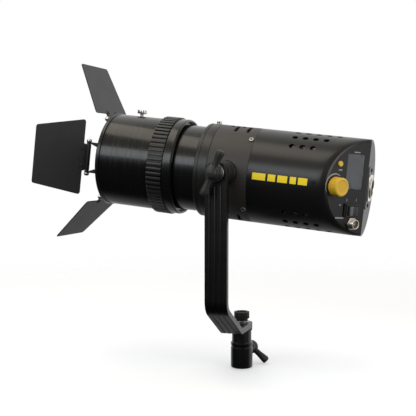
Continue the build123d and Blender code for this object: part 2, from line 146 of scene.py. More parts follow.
class Finish:
    # One material or world being built
    def __init__(self, name, owner=None, **settings):
        self.data = owner or bpy.data.materials.new(name)
        finishes[name] = self.data
        self.data.use_nodes = True
        self.tree = self.data.node_tree
        self.shader = self.tree.nodes.get("Principled BSDF")
        for socket, value in settings.items():
            self.feed(socket, value)

    def feed(self, socket, value):
        self.connect(self.shader.inputs[socket.replace("_", " ")], value)

    def connect(self, target, value):
        if isinstance(value, Value):
            self.tree.links.new(value.socket, target)
        elif hasattr(target.default_value, "__len__") and len(target.default_value) == 4:
            target.default_value = (*value[:3], 1.0)
        else:
            target.default_value = value

    def add(self, kind, settings=None, inputs=None, output=0):
        # Any node: settings first, then the values or links of its sockets
        made = self.tree.nodes.new(kind)
        for name, value in (settings or {}).items():
            if name == "stops":
                ramp = made.color_ramp
                while len(ramp.elements) < len(value):
                    ramp.elements.new(0.5)
                for element, (position, colour) in zip(ramp.elements, value):
                    element.position = position
                    element.color = (*colour, 1.0)
            else:
                setattr(made, name, value)
        for name, value in (inputs or {}).items():
            self.connect(made.inputs[name], value)
        return Value(self, made.outputs[output])

    def mix(self, factor, first, second):
        # Colour mix
        made = self.tree.nodes.new("ShaderNodeMix")
        made.data_type = "RGBA"
        for index, value in ((0, factor), (6, first), (7, second)):
            self.connect(made.inputs[index], value)
        return Value(self, made.outputs[2])

    def where(self, stretch=(1.0, 1.0, 1.0), place=None):
        # Object coordinates, turned into a local place if one is given, and then stretched
        spot = self.add("ShaderNodeTexCoord", output="Object")
        if place is not None:
            turn = place.inverted()
            spot = self.add("ShaderNodeMapping", inputs={
                "Vector": spot, "Location": turn.to_translation(), "Rotation": turn.to_euler(),
            })
        return self.add("ShaderNodeMapping", inputs={"Vector": spot, "Scale": stretch})

    def noise(self, scale, detail=3.0, rough=0.5, stretch=(1.0, 1.0, 1.0), place=None):
        return self.add("ShaderNodeTexNoise", inputs={
            "Vector": self.where(stretch, place), "Scale": scale, "Detail": detail, "Roughness": rough,
        })

    def bump(self, height, strength, distance):
        self.feed("Normal", self.add("ShaderNodeBump", inputs={
            "Height": height, "Strength": strength, "Distance": distance,
        }))


def turnedMetal(name, colour, rough, streak, lineDepth, coat=0.0, place=None):
    # Black anodised tube: lathe lines round the local Z axis, faint handling marks
    finish = Finish(name, Specular_IOR_Level=0.5)
    lines = finish.noise(1.0, 5.0, 0.7, (6.0, 6.0, 1900.0), place)
    bands = finish.noise(1.0, 2.0, 0.5, (3.0, 3.0, 240.0), place)
    smudge = finish.noise(26.0, 4.0, 0.6, place=place)
    finish.feed("Base Color", finish.mix(smudge, [c * 0.75 for c in colour], [c * 1.3 for c in colour]))
    finish.feed("Roughness", rough + streak * (lines - 0.5) + streak * (bands - 0.5) + 0.10 * (smudge - 0.5))
    finish.bump(lines, 0.35, lineDepth)
    finish.shader.inputs["Coat Weight"].default_value = coat
    finish.shader.inputs["Coat Roughness"].default_value = 0.08
    return finish


def powderCoat(name, colour, rough, grain, grainSize, spread=0.12):
    # Sprayed coat: fine orange-peel grain, with slightly uneven gloss
    finish = Finish(name)
    peel = finish.noise(1.0 / (grainSize * mm), 3.0, 0.55)
    cloud = finish.noise(34.0, 3.0, 0.6)
    finish.feed("Base Color", finish.mix(cloud, [c * 0.86 for c in colour], [c * 1.14 for c in colour]))
    finish.feed("Roughness", rough + spread * (cloud - 0.5) + 0.06 * (peel - 0.5))
    finish.bump(peel, 0.5, grain * mm)


def moulded(name, colour, rough, grain, coat=0.0, light=1.18):
    # Moulded plastic: spark-eroded grain, paler where it is rubbed
    finish = Finish(name)
    pits = finish.add("ShaderNodeTexVoronoi", {"feature": "F1"}, {"Vector": finish.where(), "Scale": 2300.0})
    fine = finish.noise(900.0, 4.0, 0.6)
    rub = finish.noise(60.0, 3.0, 0.55).above(0.58, 0.2)
    finish.feed("Base Color", finish.mix(rub, colour, [c * light for c in colour]))
    finish.feed("Roughness", rough - 0.10 * rub + 0.08 * (fine - 0.5))
    finish.bump(pits * 0.5 + fine * 0.5, 0.4, grain * mm)
    finish.shader.inputs["Coat Weight"].default_value = coat


def brightMetal(name, colour, rough, brush=(40.0, 40.0, 700.0)):
    # Plated or bare metal: short brush marks, dull spots
    finish = Finish(name, Metallic=1.0)
    marks = finish.noise(1.0, 4.0, 0.65, brush)
    dull = finish.noise(220.0, 3.0, 0.6).above(0.6, 0.25)
    finish.feed("Base Color", finish.mix(dull, colour, [c * 0.72 for c in colour]))
    finish.feed("Roughness", rough + 0.16 * (marks - 0.5) + 0.12 * dull)
    finish.bump(marks, 0.25, 0.02 * mm)


def clearGlass(name, colour, reflectionTint):
    # Lens glass: nearly clear, with a painted coating reflection that turns the colour to the tint at grazing angles,
    # and a little dust
    finish = Finish(name, Roughness=0.02, Transmission_Weight=1.0, IOR=1.5)
    dust = finish.noise(420.0, 4.0, 0.7).above(0.72, 0.12)
    # Painted reflection: colour shifts to the tint where the surface is seen edge-on
    rim = finish.add("ShaderNodeLayerWeight", inputs={"Blend": 0.35}, output="Facing")
    finish.feed("Base Color", finish.mix(rim, colour, reflectionTint))
    finish.feed("Roughness", 0.02 + 0.25 * dust)


def screenFace(name):
    # Unlit display under its window: grey film with a faint pixel pitch and a darker margin
    finish = Finish(name, Coat_Weight=0.6, Coat_Roughness=0.05)
    film = finish.noise(70.0, 3.0, 0.5)
    wave = finish.add("ShaderNodeTexWave", {"bands_direction": "Z"}, {"Vector": finish.where(), "Scale": 900.0})
    grey = finish.mix(film, (0.25, 0.253, 0.262), (0.30, 0.303, 0.312))
    finish.feed("Base Color", finish.mix(0.12 * wave, grey, (0.20, 0.203, 0.212)))
    finish.feed("Roughness", 0.34 + 0.08 * (film - 0.5))


def circuitBoard(name):
    finish = Finish(name)
    tracks = finish.add("ShaderNodeTexBrick", inputs={
        "Vector": finish.where((1.0, 1.0, 1.0)), "Scale": 260.0, "Color1": (0.01, 0.07, 0.03),
        "Color2": (0.015, 0.10, 0.04), "Mortar": (0.03, 0.16, 0.06), "Mortar Size": 0.05,
    })
    finish.feed("Base Color", tracks)
    finish.feed("Roughness", 0.35 + 0.2 * (finish.noise(500.0) - 0.5))


def ledDots(name):
    # Phosphor dots on a pale board
    finish = Finish(name)
    cells = finish.add("ShaderNodeTexVoronoi", {"feature": "F1"}, {
        "Vector": finish.where(), "Scale": 420.0, "Randomness": 0.0,
    })
    finish.feed("Base Color", finish.mix(cells.above(0.32, 0.08), (0.85, 0.66, 0.12), (0.75, 0.76, 0.74)))
    finish.feed("Roughness", 0.35 + 0.3 * cells)


def printInk(name, colour, paintedGlow):
    # Screen print: slightly uneven ink, with a painted glow (emission) that makes it a little brighter than the light
    # on it
    finish = Finish(name, Emission_Color=colour, Emission_Strength=paintedGlow)
    patchy = finish.noise(600.0, 3.0, 0.6)
    finish.feed("Base Color", finish.mix(patchy, [c * 0.88 for c in colour], colour))
    finish.feed("Roughness", 0.42 + 0.12 * (patchy - 0.5))
    finish.bump(patchy, 0.2, 0.01 * mm)


turnedMetal("barrel_black", (0.009, 0.009, 0.0095), 0.22, 0.34, 0.016 * mm, coat=0.12)
turnedMetal("tube_black", (0.010, 0.010, 0.0105), 0.24, 0.14, 0.012 * mm, coat=0.15)
turnedMetal("flange_black", (0.020, 0.020, 0.019), 0.36, 0.12, 0.014 * mm)
knurled = turnedMetal("knurl_black", (0.018, 0.018, 0.018), 0.36, 0.10, 0.012 * mm)
# Painted light and shade: the knurl's ridge tops are painted lighter and its grooves darker, by distance from the
# axis
fromAxis = knurled.add("ShaderNodeVectorMath", {"operation": "LENGTH"}, {0: knurled.where((1.0, 1.0, 0.0))}, "Value")
paintedRidgeLight = fromAxis.above(extent("focus_ring", lamp)[1].y * mm - 0.9 * mm, 1.0 * mm)
knurled.feed("Base Color", knurled.mix(paintedRidgeLight, (0.003, 0.003, 0.003), (0.034, 0.034, 0.033)))
powderCoat("rear_black", (0.012, 0.012, 0.0125), 0.30, 0.010, 0.35, 0.08)
powderCoat("housing_grey", (0.055, 0.052, 0.047), 0.52, 0.020, 0.28)
powderCoat("boss_black", (0.018, 0.018, 0.018), 0.42, 0.016, 0.3)
powderCoat("leaf_black", (0.014, 0.0145, 0.016), 0.46, 0.022, 0.30)
powderCoat("receiver_black", (0.005, 0.005, 0.005), 0.30, 0.016, 0.4)
powderCoat("panel_black", (0.008, 0.008, 0.0085), 0.46, 0.012, 0.22)
powderCoat("plate_grey", (0.10, 0.10, 0.10), 0.46, 0.014, 0.25)
turnedMetal("arm_black", (0.004, 0.004, 0.004), 0.32, 0.10, 0.010 * mm)
moulded("handle_black", (0.030, 0.030, 0.028), 0.48, 0.030)
moulded("knob_black", (0.018, 0.018, 0.018), 0.46, 0.030)
moulded("insert_black", (0.012, 0.012, 0.012), 0.50, 0.020)
moulded("friction_disc", (0.022, 0.022, 0.022), 0.58, 0.020)
moulded("rocker_grey", (0.040, 0.041, 0.043), 0.34, 0.010, 0.2)
moulded("dial_yellow", (0.95, 0.58, 0.035), 0.36, 0.012, 0.15, 1.04)
moulded("button_yellow", (0.95, 0.64, 0.04), 0.34, 0.010, 0.2, 1.04)
brightMetal("screw_silver", (0.66, 0.64, 0.60), 0.26)
brightMetal("connector_silver", (0.86, 0.82, 0.74), 0.30)
brightMetal("steel", (0.55, 0.55, 0.55), 0.30)
brightMetal("screw_black", (0.035, 0.035, 0.035), 0.40)
brightMetal("brass", (0.72, 0.52, 0.22), 0.28)
brightMetal("bare_aluminium", (0.62, 0.62, 0.62), 0.34)
brightMetal("mirror_bright", (0.85, 0.85, 0.85), 0.08)
clearGlass("lens_glass", (0.96, 0.99, 1.0), (0.55, 0.72, 0.95))
clearGlass("screen_glass", (0.80, 0.82, 0.84), (0.5, 0.52, 0.56))
screenFace("screen_grey")
circuitBoard("board_green")
ledDots("led_phosphor")
printInk("print_yellow", (1.0, 0.76, 0.02), 0.22)
printInk("print_pale", (0.42, 0.42, 0.46), 0.04)
print("finishes made:", len(finishes))

slotOf = {entry["node"]: entry["material_slot"] for entry in frame["record"]["subparts"]}
for name, node in nodes.items():
    node.data.materials.clear()
    node.data.materials.append(finishes[slotOf[name]])


# Making pieces

def show(name, mesh, body, finish, place, replaced=(), smooth=35.0):
    # Puts a mesh in place as a piece of the object
    piece = bpy.data.objects.new(name, mesh)
    bpy.context.scene.collection.objects.link(piece)
    piece.matrix_world = place
    mesh.materials.clear()
    mesh.materials.append(finishes[finish])
    mesh.shade_smooth()
    mesh.set_sharp_from_angle(angle=radians(smooth))
    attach(piece, body)
    if replaced:
        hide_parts(*((replaced,) if isinstance(replaced, str) else replaced))
    return piece


axisGap = 0.001  # turned pieces stay this far off their axis, so that no face folds


def welded(mesh):
    # Merges doubled points and turns every face outward
    build = bmesh.new()
    build.from_mesh(mesh)
    bmesh.ops.remove_doubles(build, verts=build.verts, dist=1e-7)
    bmesh.ops.recalc_face_normals(build, faces=build.faces)
    build.to_mesh(mesh)
    build.free()
    return mesh


def meshFrom(points, faces):
    # Mesh from points in millimetres
    mesh = bpy.data.meshes.new("mesh")
    mesh.from_pydata([Vector(point) * mm for point in points], [], faces)
    mesh.validate()
    return welded(mesh)


def rounded(corners, steps=4):
    # Closed outline whose corners (a, b, radius) become arcs
    outline = []
    for index, corner in enumerate(corners):
        here = Vector(corner[:2])
        radius = corner[2] if len(corner) > 2 else 0.0
        if not radius:
            outline.append(tuple(here))
            continue
        before = (Vector(corners[index - 1][:2]) - here)
        after = (Vector(corners[(index + 1) % len(corners)][:2]) - here)
        reach = min(before.length, after.length) * 0.49
        before.normalize()
        after.normalize()
        half = acos(max(-1.0, min(1.0, before.dot(after)))) / 2
        setback = min(radius / tan(half), reach)
        radius = setback * tan(half)
        centre = here + (before + after).normalized() * radius / sin(half)
        start = (here + before * setback) - centre
        sweep = start.angle_signed((here + after * setback) - centre)
        for step in range(steps + 1):
            turn = -sweep * step / steps
            outline.append((
                centre.x + start.x * cos(turn) - start.y * sin(turn),
                centre.y + start.x * sin(turn) + start.y * cos(turn),
            ))
    return outline


def lathe(corners, around=160, steps=4):
    # Ring or knob: (radius, height) corners turned round local Z
    outline = rounded(corners, steps)
    points = []
    for radius, height in outline:
        for index in range(around):
            angle = 2 * pi * index / around
            points.append((radius * cos(angle), radius * sin(angle), height))
    faces = []
    count = len(outline)
    for ring in range(count):
        for index in range(around):
            following = (index + 1) % around
            upper = (ring + 1) % count
            faces.append((
                ring * around + index, ring * around + following, upper * around + following, upper * around + index,
            ))
    return meshFrom(points, faces)


def solid(corners, around=160, steps=4):
    # Turned piece without a bore: its two ends are closed at local Z
    ends = [(axisGap, corners[0][1]), (axisGap, corners[-1][1])]
    return lathe([ends[0], *corners, ends[1]], around, steps)


def circle(radius, count=32, x=0.0, y=0.0):
    return [(x + radius * cos(2 * pi * i / count), y + radius * sin(2 * pi * i / count)) for i in range(count)]


def toothed(radius, teeth, depth):
    # Outline with a straight-sided notch at every second point
    outline = []
    for index in range(teeth * 2):
        angle = pi * index / teeth
        reach = radius - (depth if index % 2 else 0.0)
        outline.append((reach * cos(angle), reach * sin(angle)))
    return outline


def fluted(radius, flutes, depth):
    # Outline with soft hollows, four points to each
    outline = []
    for index in range(flutes * 4):
        angle = pi * index / (flutes * 2)
        reach = radius - (depth if index % 4 == 0 else 0.0)
        outline.append((reach * cos(angle), reach * sin(angle)))
    return outline


def rectangle(width, height, radius=0.0, x=0.0, y=0.0):
    corners = ((-1, -1), (1, -1), (1, 1), (-1, 1))
    return rounded([(x + a * width / 2, y + b * height / 2, radius) for a, b in corners], 3)


def slab(size, low, high, corner=0.0, bevel=0.0, centre=(0.0, 0.0)):
    return plate([rectangle(size[0], size[1], corner, centre[0], centre[1])], low, high, bevel)


def plate(loops, low, high, bevel=0.0):
    # Flat piece from an outline and its holes, between two heights, with softened edges
    curve = bpy.data.curves.new("outline", "CURVE")
    curve.dimensions = "2D"
    curve.fill_mode = "BOTH"
    curve.extrude = ((high - low) / 2 - bevel) * mm
    curve.bevel_depth = bevel * mm
    curve.bevel_resolution = 2
    curve.offset = -bevel * mm
    for loop in loops:
        spline = curve.splines.new("POLY")
        spline.points.add(len(loop) - 1)
        for point, (x, y) in zip(spline.points, loop):
            point.co = (x * mm, y * mm, 0, 1)
        spline.use_cyclic_u = True
    holder = bpy.data.objects.new("outline", curve)
    mesh = bpy.data.meshes.new_from_object(holder)
    bpy.data.objects.remove(holder)
    bpy.data.curves.remove(curve)
    mesh.transform(Matrix.Translation((0, 0, (low + high) / 2 * mm)))
    return welded(mesh)


def joined(parts):
    # One mesh from meshes, or from (mesh, matrix) pairs
    build = bmesh.new()
    for part in parts:
        mesh, matrix = part if isinstance(part, tuple) else (part, identity)
        copy = mesh.copy()
        copy.transform(matrix)
        build.from_mesh(copy)
    mesh = bpy.data.meshes.new("mesh")
    build.to_mesh(mesh)
    build.free()
    return mesh


def shaped(mesh, modifiers):
    # Mesh after a list of modifiers, each a type and its settings
    holder = bpy.data.objects.new("holder", mesh)
    bpy.context.scene.collection.objects.link(holder)
    for kind, settings in modifiers:
        modifier = holder.modifiers.new(kind, kind)
        for name, value in settings.items():
            setattr(modifier, name, value)
    result = bpy.data.meshes.new_from_object(holder.evaluated_get(bpy.context.evaluated_depsgraph_get()))
    bpy.data.objects.remove(holder)
    return result


def carved(mesh, cutters, operation="DIFFERENCE"):
    # Boolean with all the cutters at once
    tool = bpy.data.objects.new("tool", joined(cutters))
    bpy.context.scene.collection.objects.link(tool)
    bpy.context.view_layer.update()
    result = shaped(mesh, [("BOOLEAN", {"object": tool, "operation": operation, "solver": "EXACT"})])
    bpy.data.objects.remove(tool)
    return result


# Lens barrel, focus ring and inner tube

barrelStyle = {"wall": 3.0, "step": 1.2, "edge": 0.5, "guideLength": 24.0, "guideDepth": 1.4}


def makeBarrel():
    style = barrelStyle
    low, high = extent("barrel_tube", lamp)
    knurlLow = extent("focus_ring", lamp)[0].z
    outer = high.y
    inner = outer - style["wall"]
    step = outer - style["step"]
    guide = high.z - style["guideLength"]
    tube = lathe([
        (inner, low.z), (outer, low.z, style["edge"]), (outer, low.z + 1.6), (outer - 0.25, low.z + 1.8),
        (outer - 0.25, low.z + 2.2), (outer, low.z + 2.4), (outer, knurlLow - 0.5, 0.3), (step, knurlLow - 0.5),
        (step, high.z, 0.3), (inner - style["guideDepth"], high.z), (inner - style["guideDepth"], guide),
        (inner, guide),
    ], 200)
    show("barrelTube", tube, "barrel", "barrel_black", lamp, "barrel_tube")


def makeCollar():
    low, high = extent("barrel_collar", lamp)
    outer = high.y
    inner = extent("barrel_tube", lamp)[1].y - barrelStyle["step"]
    collar = lathe([
        (inner, low.z), (outer, low.z, 0.4), (outer, high.z - 2.2, 0.8), (outer - 1.0, high.z, 0.5),
        (outer - 2.2, high.z, 0.4), (inner, high.z - 0.8),
    ], 200)
    show("barrelCollar", collar, "barrel", "barrel_black", lamp, "barrel_collar")


knurlStyle = {"ridges": 64, "depth": 1.35, "grooveShare": 0.42, "edge": 0.3}


def makeFocusRing():
    low, high = extent("focus_ring", lamp)
    outer = high.y
    inner = extent("barrel_tube", lamp)[1].y - barrelStyle["step"] + 0.1
    pitch = 2 * pi / knurlStyle["ridges"]
    groove = knurlStyle["grooveShare"] * pitch
    root = outer - knurlStyle["depth"]
    outline = []
    for ridge in range(knurlStyle["ridges"]):
        start = ridge * pitch
        for radius, angle in (
            (root, start), (root, start + groove * 0.8), (outer - 0.25, start + groove),
            (outer, start + groove + 0.1 * pitch), (outer, start + pitch * 0.9), (outer - 0.25, start + pitch),
        ):
            outline.append((radius * cos(angle), radius * sin(angle)))
    ring = plate([outline, circle(inner, 160)], low.z, high.z, knurlStyle["edge"])
    show("focusRing", ring, "focus_ring", "knurl_black", lamp, "focus_ring", 28)


def makeInnerTube():
    low, high = extent("inner_tube", lamp)
    outer = high.y
    tube = lathe([
        (outer - 2, low.z), (outer, low.z, 0.4), (outer, high.z - 16.2, 0.1), (outer - 0.3, high.z - 16.0),
        (outer - 0.3, high.z - 15.4), (outer, high.z - 15.2), (outer, high.z), (outer - 2, high.z),
    ], 200)
    show("innerTube", tube, "head", "tube_black", lamp, "inner_tube")


flangeStyle = {"rim": 4.2, "groove": 0.5, "edge": 0.9}


def makeFlange():
    low, high = extent("front_flange", lamp)
    outer = high.y
    inner = extent("inner_tube", lamp)[1].y
    rim = low.z + flangeStyle["rim"]
    cut = flangeStyle["groove"]
    flange = lathe([
        (inner, low.z + 1.2), (inner + 1.4, low.z, 0.4), (outer, low.z, flangeStyle["edge"]), (outer, rim, 0.15),
        (outer - cut, rim + 0.2), (outer - cut, rim + 0.7), (outer, rim + 0.9, 0.15), (outer, high.z - 0.5, 0.3),
        (outer - 0.6, high.z), (inner, high.z),
    ], 200)
    show("frontFlange", flange, "head", "flange_black", lamp, "front_flange")


# Housings

slotStyle = {
    "wall": 3.0, "width": 4.0, "arc": 19.5, "places": (
        (-1.8, 59.0), (12.6, 59.0), (-9.3, 73.8), (4.3, 73.8), (-1.8, 101.5), (12.6, 101.5),
        (-1.8, -78.5), (12.6, -78.5), (-1.8, -121.0), (12.6, -121.0),
    ),
}


def makeFrontHousing():
    low, high = extent("front_housing", lamp)
    outer = high.y
    inner = outer - slotStyle["wall"]
    shell = lathe([(inner, low.z), (outer, low.z, 0.35), (outer, high.z, 0.35), (inner, high.z)], 240)
    toLocal = lamp.inverted()
    cutters = [slotCutter(station, start) for station, start in slotStyle["places"]]
    bossLow, bossHigh = extent("tilt_boss", tilt)
    cutters.append((cylinder(bossHigh.x + 0.25, 12), toLocal @ moved(tilt, z=bossLow.z + 3)))
    for matrix in screwPlaces["housing"]:
        cutters.append((cylinder(2.9, 3.0), toLocal @ moved(matrix, z=1.5)))
    show("frontHousing", carved(shell, cutters), "head", "housing_grey", lamp, "front_housing")


def cylinder(radius, height, count=48, flare=0.0):
    # Plain round cutter centred on z = 0, with a wider top if flare is given
    half = height / 2
    return solid([(radius, -half), (radius, 0.0), (radius + flare, flare or axisGap), (radius + flare, half)], count)


def slotCutter(station, start):
    # Curved slot with rounded ends, cut along the tube from one angle to the next
    points = []
    faces = []
    count = 20
    half = slotStyle["width"] / 2
    for index in range(count + 1):
        share = index / count
        angle = radians(start + caseTurn + slotStyle["arc"] * share)
        fromEnd = min(share, 1 - share) * radians(slotStyle["arc"]) * 54.0
        reach = half if fromEnd >= half else sqrt(max(0.02, half ** 2 - (half - fromEnd) ** 2))
        for radius in (49.0, 57.0):
            for side in (-1, 1):
                points.append((-radius * sin(angle), -radius * cos(angle), station + side * reach))
    for base in range(0, count * 4, 4):
        for a, b in ((0, 1), (1, 3), (3, 2), (2, 0)):
            faces.append((base + a, base + b, base + 4 + b, base + 4 + a))
    faces.append((0, 2, 3, 1))
    faces.append(tuple(count * 4 + i for i in (0, 1, 3, 2)))
    return meshFrom(points, faces)


ventStyle = {
    "diameter": 6.4, "pitch": 11.8, "start": 68.2, "flare": 0.35,
    "rows": ((42.6, 3), (59.8, 4), (77.0, 5), (103.0, 5), (120.2, 4), (137.4, 3)),
}
rearStyle = {"wall": 2.5, "bevelLength": 7.0, "bevelDepth": 1.1, "around": 240}


def makeRearHousing():
    low, high = extent("rear_housing", lamp)
    outer = high.y
    inner = outer - rearStyle["wall"]
    normal = lamp.to_3x3().inverted() @ panelOut
    slope = abs(normal.y / normal.z)
    around = rearStyle["around"]
    bevel = rearStyle["bevelLength"]
    drop = rearStyle["bevelDepth"]
    seam = low.z
    points = []
    rings = 14
    for index in range(around):
        angle = 2 * pi * index / around
        x = -sin(angle)
        y = -cos(angle)
        nearSide = max(0.0, cos(angle)) ** 0.35
        end = ridge + min(0.0, y * outer - ridgeOffset) * slope
        fall = drop * nearSide
        innerEnd = ridge + min(0.0, y * inner - ridgeOffset) * slope
        profile = [(inner, seam), (outer - 0.3, seam), (outer, seam + 0.3)]
        profile += [(outer, seam + 0.3 + (end - bevel - seam - 0.3) * k / rings) for k in range(1, rings)]
        profile += [(outer, end - bevel), (outer - fall * 0.12, end - bevel + 0.8),
                    (outer - fall * 0.9, end - 0.5), (outer - fall - 0.25, end - 0.05), (inner, innerEnd)]
        points += [(x * radius, y * radius, station) for radius, station in profile]
    count = len(profile)
    faces = []
    for index in range(around):
        following = (index + 1) % around
        for k in range(count):
            above = (k + 1) % count
            faces.append((index * count + k, index * count + above, following * count + above, following * count + k))
    shell = meshFrom(points, faces)
    hole = cylinder(ventStyle["diameter"] / 2, 14, 40, ventStyle["flare"])
    cutters = []
    toLocal = lamp.inverted()
    for side in (1, -1):
        for angle, amount in ventStyle["rows"]:
            for index in range(amount):
                spot = onLamp(ventStyle["start"] + index * ventStyle["pitch"], outer - 0.25, side * angle)
                cutters.append((hole, toLocal @ spot))
    for matrix in screwPlaces["cover"][:2]:
        cutters.append((cylinder(2.5, 3.0), toLocal @ moved(matrix, z=1.5)))
    show("rearHousing", carved(shell, cutters), "head", "rear_black", lamp, "rear_housing")


# Screws

screwStyle = {
    "housing": (2.6, 1.8, 1.6), "flange": (3.0, 3.6, 1.8), "cover": (2.2, 1.0, 1.1),  # head radius, height, socket
    # The two socket entries give the radius and height of a dark disc painted as shade at the bottom of each socket
    "housingFloor": (1.55, 0.9), "flangeFloor": (1.75, 1.7), "plateReach": 20.0,
}


def findScrewPlaces():
    # Seats on the lamp, from the stations and angles that the shells were drilled at
    outer = extent("rear_housing", lamp)[1].y
    seat = outer - 0.3
    connector = middle("connector_shell", rearFace)
    skin = extent("connector_plate", rearFace)[1].z
    reach = extent("cover_screws", rearFace)[1].y - screwStyle["cover"][0]
    return {
        "housing": [onLamp(21.5, seat, angle) for angle in (45.2, 134.8, -45.2, -134.8)],
        "flange": [onLamp(-29.5, seat, angle) for angle in (88, 165, 235)],
        "cover": [onLamp(99.6, seat, angle) for angle in (0, 180)]
        + [moved(rearFace, connector.x, side * reach, skin) for side in (1, -1)],
    }


screwPlaces = findScrewPlaces()


def capScrew(radius, height, socket):
    # Socket head with a rounded rim, standing on z = 0
    depth = height * 0.55
    rim = plate([circle(radius, 40), circle(socket, 6)], height - depth, height, min(0.25, depth * 0.3))
    base = solid([(radius - 0.05, -0.6), (radius - 0.05, height - depth + 0.1)], 40)
    return joined([rim, base])


def socketShadeDisc(radius, height):
    # Painted shade: dark disc at the bottom of a socket, just above the screw's own, where the socket lies in shade
    return solid([(radius, height), (radius, height + 0.12)], 24)


def makeScrews():
    heads = {kind: capScrew(*screwStyle[kind]) for kind in ("housing", "flange", "cover")}
    parts = []
    shadeDiscs = []
    for kind in ("housing", "flange"):
        # Painted shade: a dark disc in each screw socket
        floor = socketShadeDisc(*screwStyle[kind + "Floor"])
        for matrix in screwPlaces[kind]:
            parts.append((heads[kind], matrix))
            shadeDiscs.append((floor, matrix))
    show("caseScrews", joined(parts), "head", "screw_silver", identity, "case_screws")
    show("socketShadeDiscs", joined(shadeDiscs), "head", "screw_black", identity)
    covers = [(heads["cover"], matrix) for matrix in screwPlaces["cover"]]
    show("coverScrews", joined(covers), "head", "screw_black", identity, "cover_screws")


makeBarrel()
makeCollar()
makeFocusRing()
makeInnerTube()
makeFlange()
makeFrontHousing()
makeRearHousing()
makeScrews()
print("tube and housings made")


# Barrel screw, door ring, brackets and hinge pins

barrelScrewStyle = {"radius": 5.6, "height": 4.4, "teeth": 22, "tooth": 0.3, "neck": 2.6}


def makeBarrelScrew():
    style = barrelScrewStyle
    low, high = extent("barrel_screw", lamp)
    place = placeOf(lamp @ Vector((0, 0, (low.z + high.z) / 2 * mm)), lampBack, lampUp)
    top = -low.x
    seat = top - style["height"]
    neck = style["neck"]
    outline = toothed(style["radius"], style["teeth"], style["tooth"])
    grip = plate([outline, circle(2.2, 6)], seat, top, 0.3)
    floor = solid([(3.6, seat), (3.6, seat + 2.4)], 32)
    post = solid([(1.95, -high.x), (1.95, seat - 1.2), (neck, seat - 1.0), (neck, seat + 0.1)], 32)
    show("barrelScrew", joined([grip, floor, post]), "barrel_screw", "screw_silver", place, "barrel_screw")


def makeDoorRing():
    low, high = extent("door_ring", lamp)
    outer = high.y
    front, back = low.z, high.z
    barrelFront = extent("barrel_tube", lamp)[0].z
    ring = lathe([
        (46.0, front, 0.4), (outer - 1.0, front, 0.7), (outer, front + 1.0, 0.4), (outer, barrelFront - 0.7, 0.3),
        (outer - 0.9, barrelFront - 0.25), (51.4, barrelFront - 0.2), (51.4, back, 0.4), (48.4, back, 0.4),
        (48.4, barrelFront - 0.2), (46.0, barrelFront - 0.2, 0.4),
    ], 200)
    show("doorRing", ring, "door_ring", "barrel_black", lamp, "door_ring")


sides = ("top", "near", "bottom", "far")


def hingePlace(side):
    # Local Y along the hinge, local Z out of the lamp, local X to the back
    joint = joints[f"leaf_{side}_swing"]
    point = Vector(joint["pos_m"])
    onAxis = lampOrigin + lampBack * (point - lampOrigin).dot(lampBack)
    return placeOf(point, lampBack, point - onAxis)


strutStyle = {"outer": 18.0, "inner": 15.7, "foot": 12.0, "neck": 3.2, "sheet": 1.4, "eye": 2.8, "bolt": 1.5,
              "screwAcross": 15.3, "nutEnd": 21.8}


def makeStruts():
    style = strutStyle
    inner, outer = style["inner"], style["outer"]
    ringFront = extent("door_ring", lamp)[0].z
    half = style["sheet"] / 2
    eye = lathe([(style["bolt"], inner), (style["eye"], inner, 0.4), (style["eye"], outer, 0.4),
                 (style["bolt"], outer)], 32)
    screw = solid([(1.3, half - 0.1), (1.3, half + 0.35, 0.2), (axisGap, half + 0.5)], 20)
    parts = []
    for side in sides:
        place = hingePlace(side)
        station = (lamp.inverted() @ place.to_translation()).z / mm
        reach = ringFront - station
        for mirror in (1, -1):
            outline = [(0.6, inner), (style["neck"], inner), (reach, style["foot"]), (reach, outer), (0.6, outer)]
            arm = plate([[(x, mirror * y) for x, y in outline]], -half, half, 0.2)
            parts += [(arm, place), (eye, spun(-90 * mirror, "X", place)),
                      (screw, moved(place, reach - 2.0, mirror * style["screwAcross"]))]
    show("hingeBrackets", joined(parts), "door_ring", "leaf_black", identity, "hinge_struts", 14)


def makePins():
    end = strutStyle["nutEnd"]
    inner = strutStyle["outer"]
    nut = lathe([(1.0, inner), (2.9, inner, 0.3), (3.15, inner + 1.2, 0.5), (3.05, inner + 2.2, 0.6),
                 (2.1, end - 0.35, 0.5), (axisGap, end)], 32)
    rod = solid([(strutStyle["bolt"], -inner - 0.5), (strutStyle["bolt"], inner + 0.5)], 24)
    parts = []
    for side in sides:
        place = hingePlace(side)
        parts.append((rod, spun(90, "X", place)))
        parts += [(nut, spun(-90 * mirror, "X", place)) for mirror in (1, -1)]
    show("hingePins", joined(parts), "door_ring", "screw_silver", identity, "hinge_pins")


leafStyle = {
    "openings": {"top": (62.2, 71.0), "near": (56.2, 66.0), "bottom": (49.6, 71.0), "far": (56.2, 66.0)},
    "start": 6.8, "length": 63.2, "inner": 88.8, "sheet": 1.2, "tab": 30.0, "corner": 3.0,
    "rivet": 1.9, "rivetAcross": 10.0, "knuckle": 2.7, "knuckleReach": 15.5, "bore": 1.62, "bracket": 14.0,
}


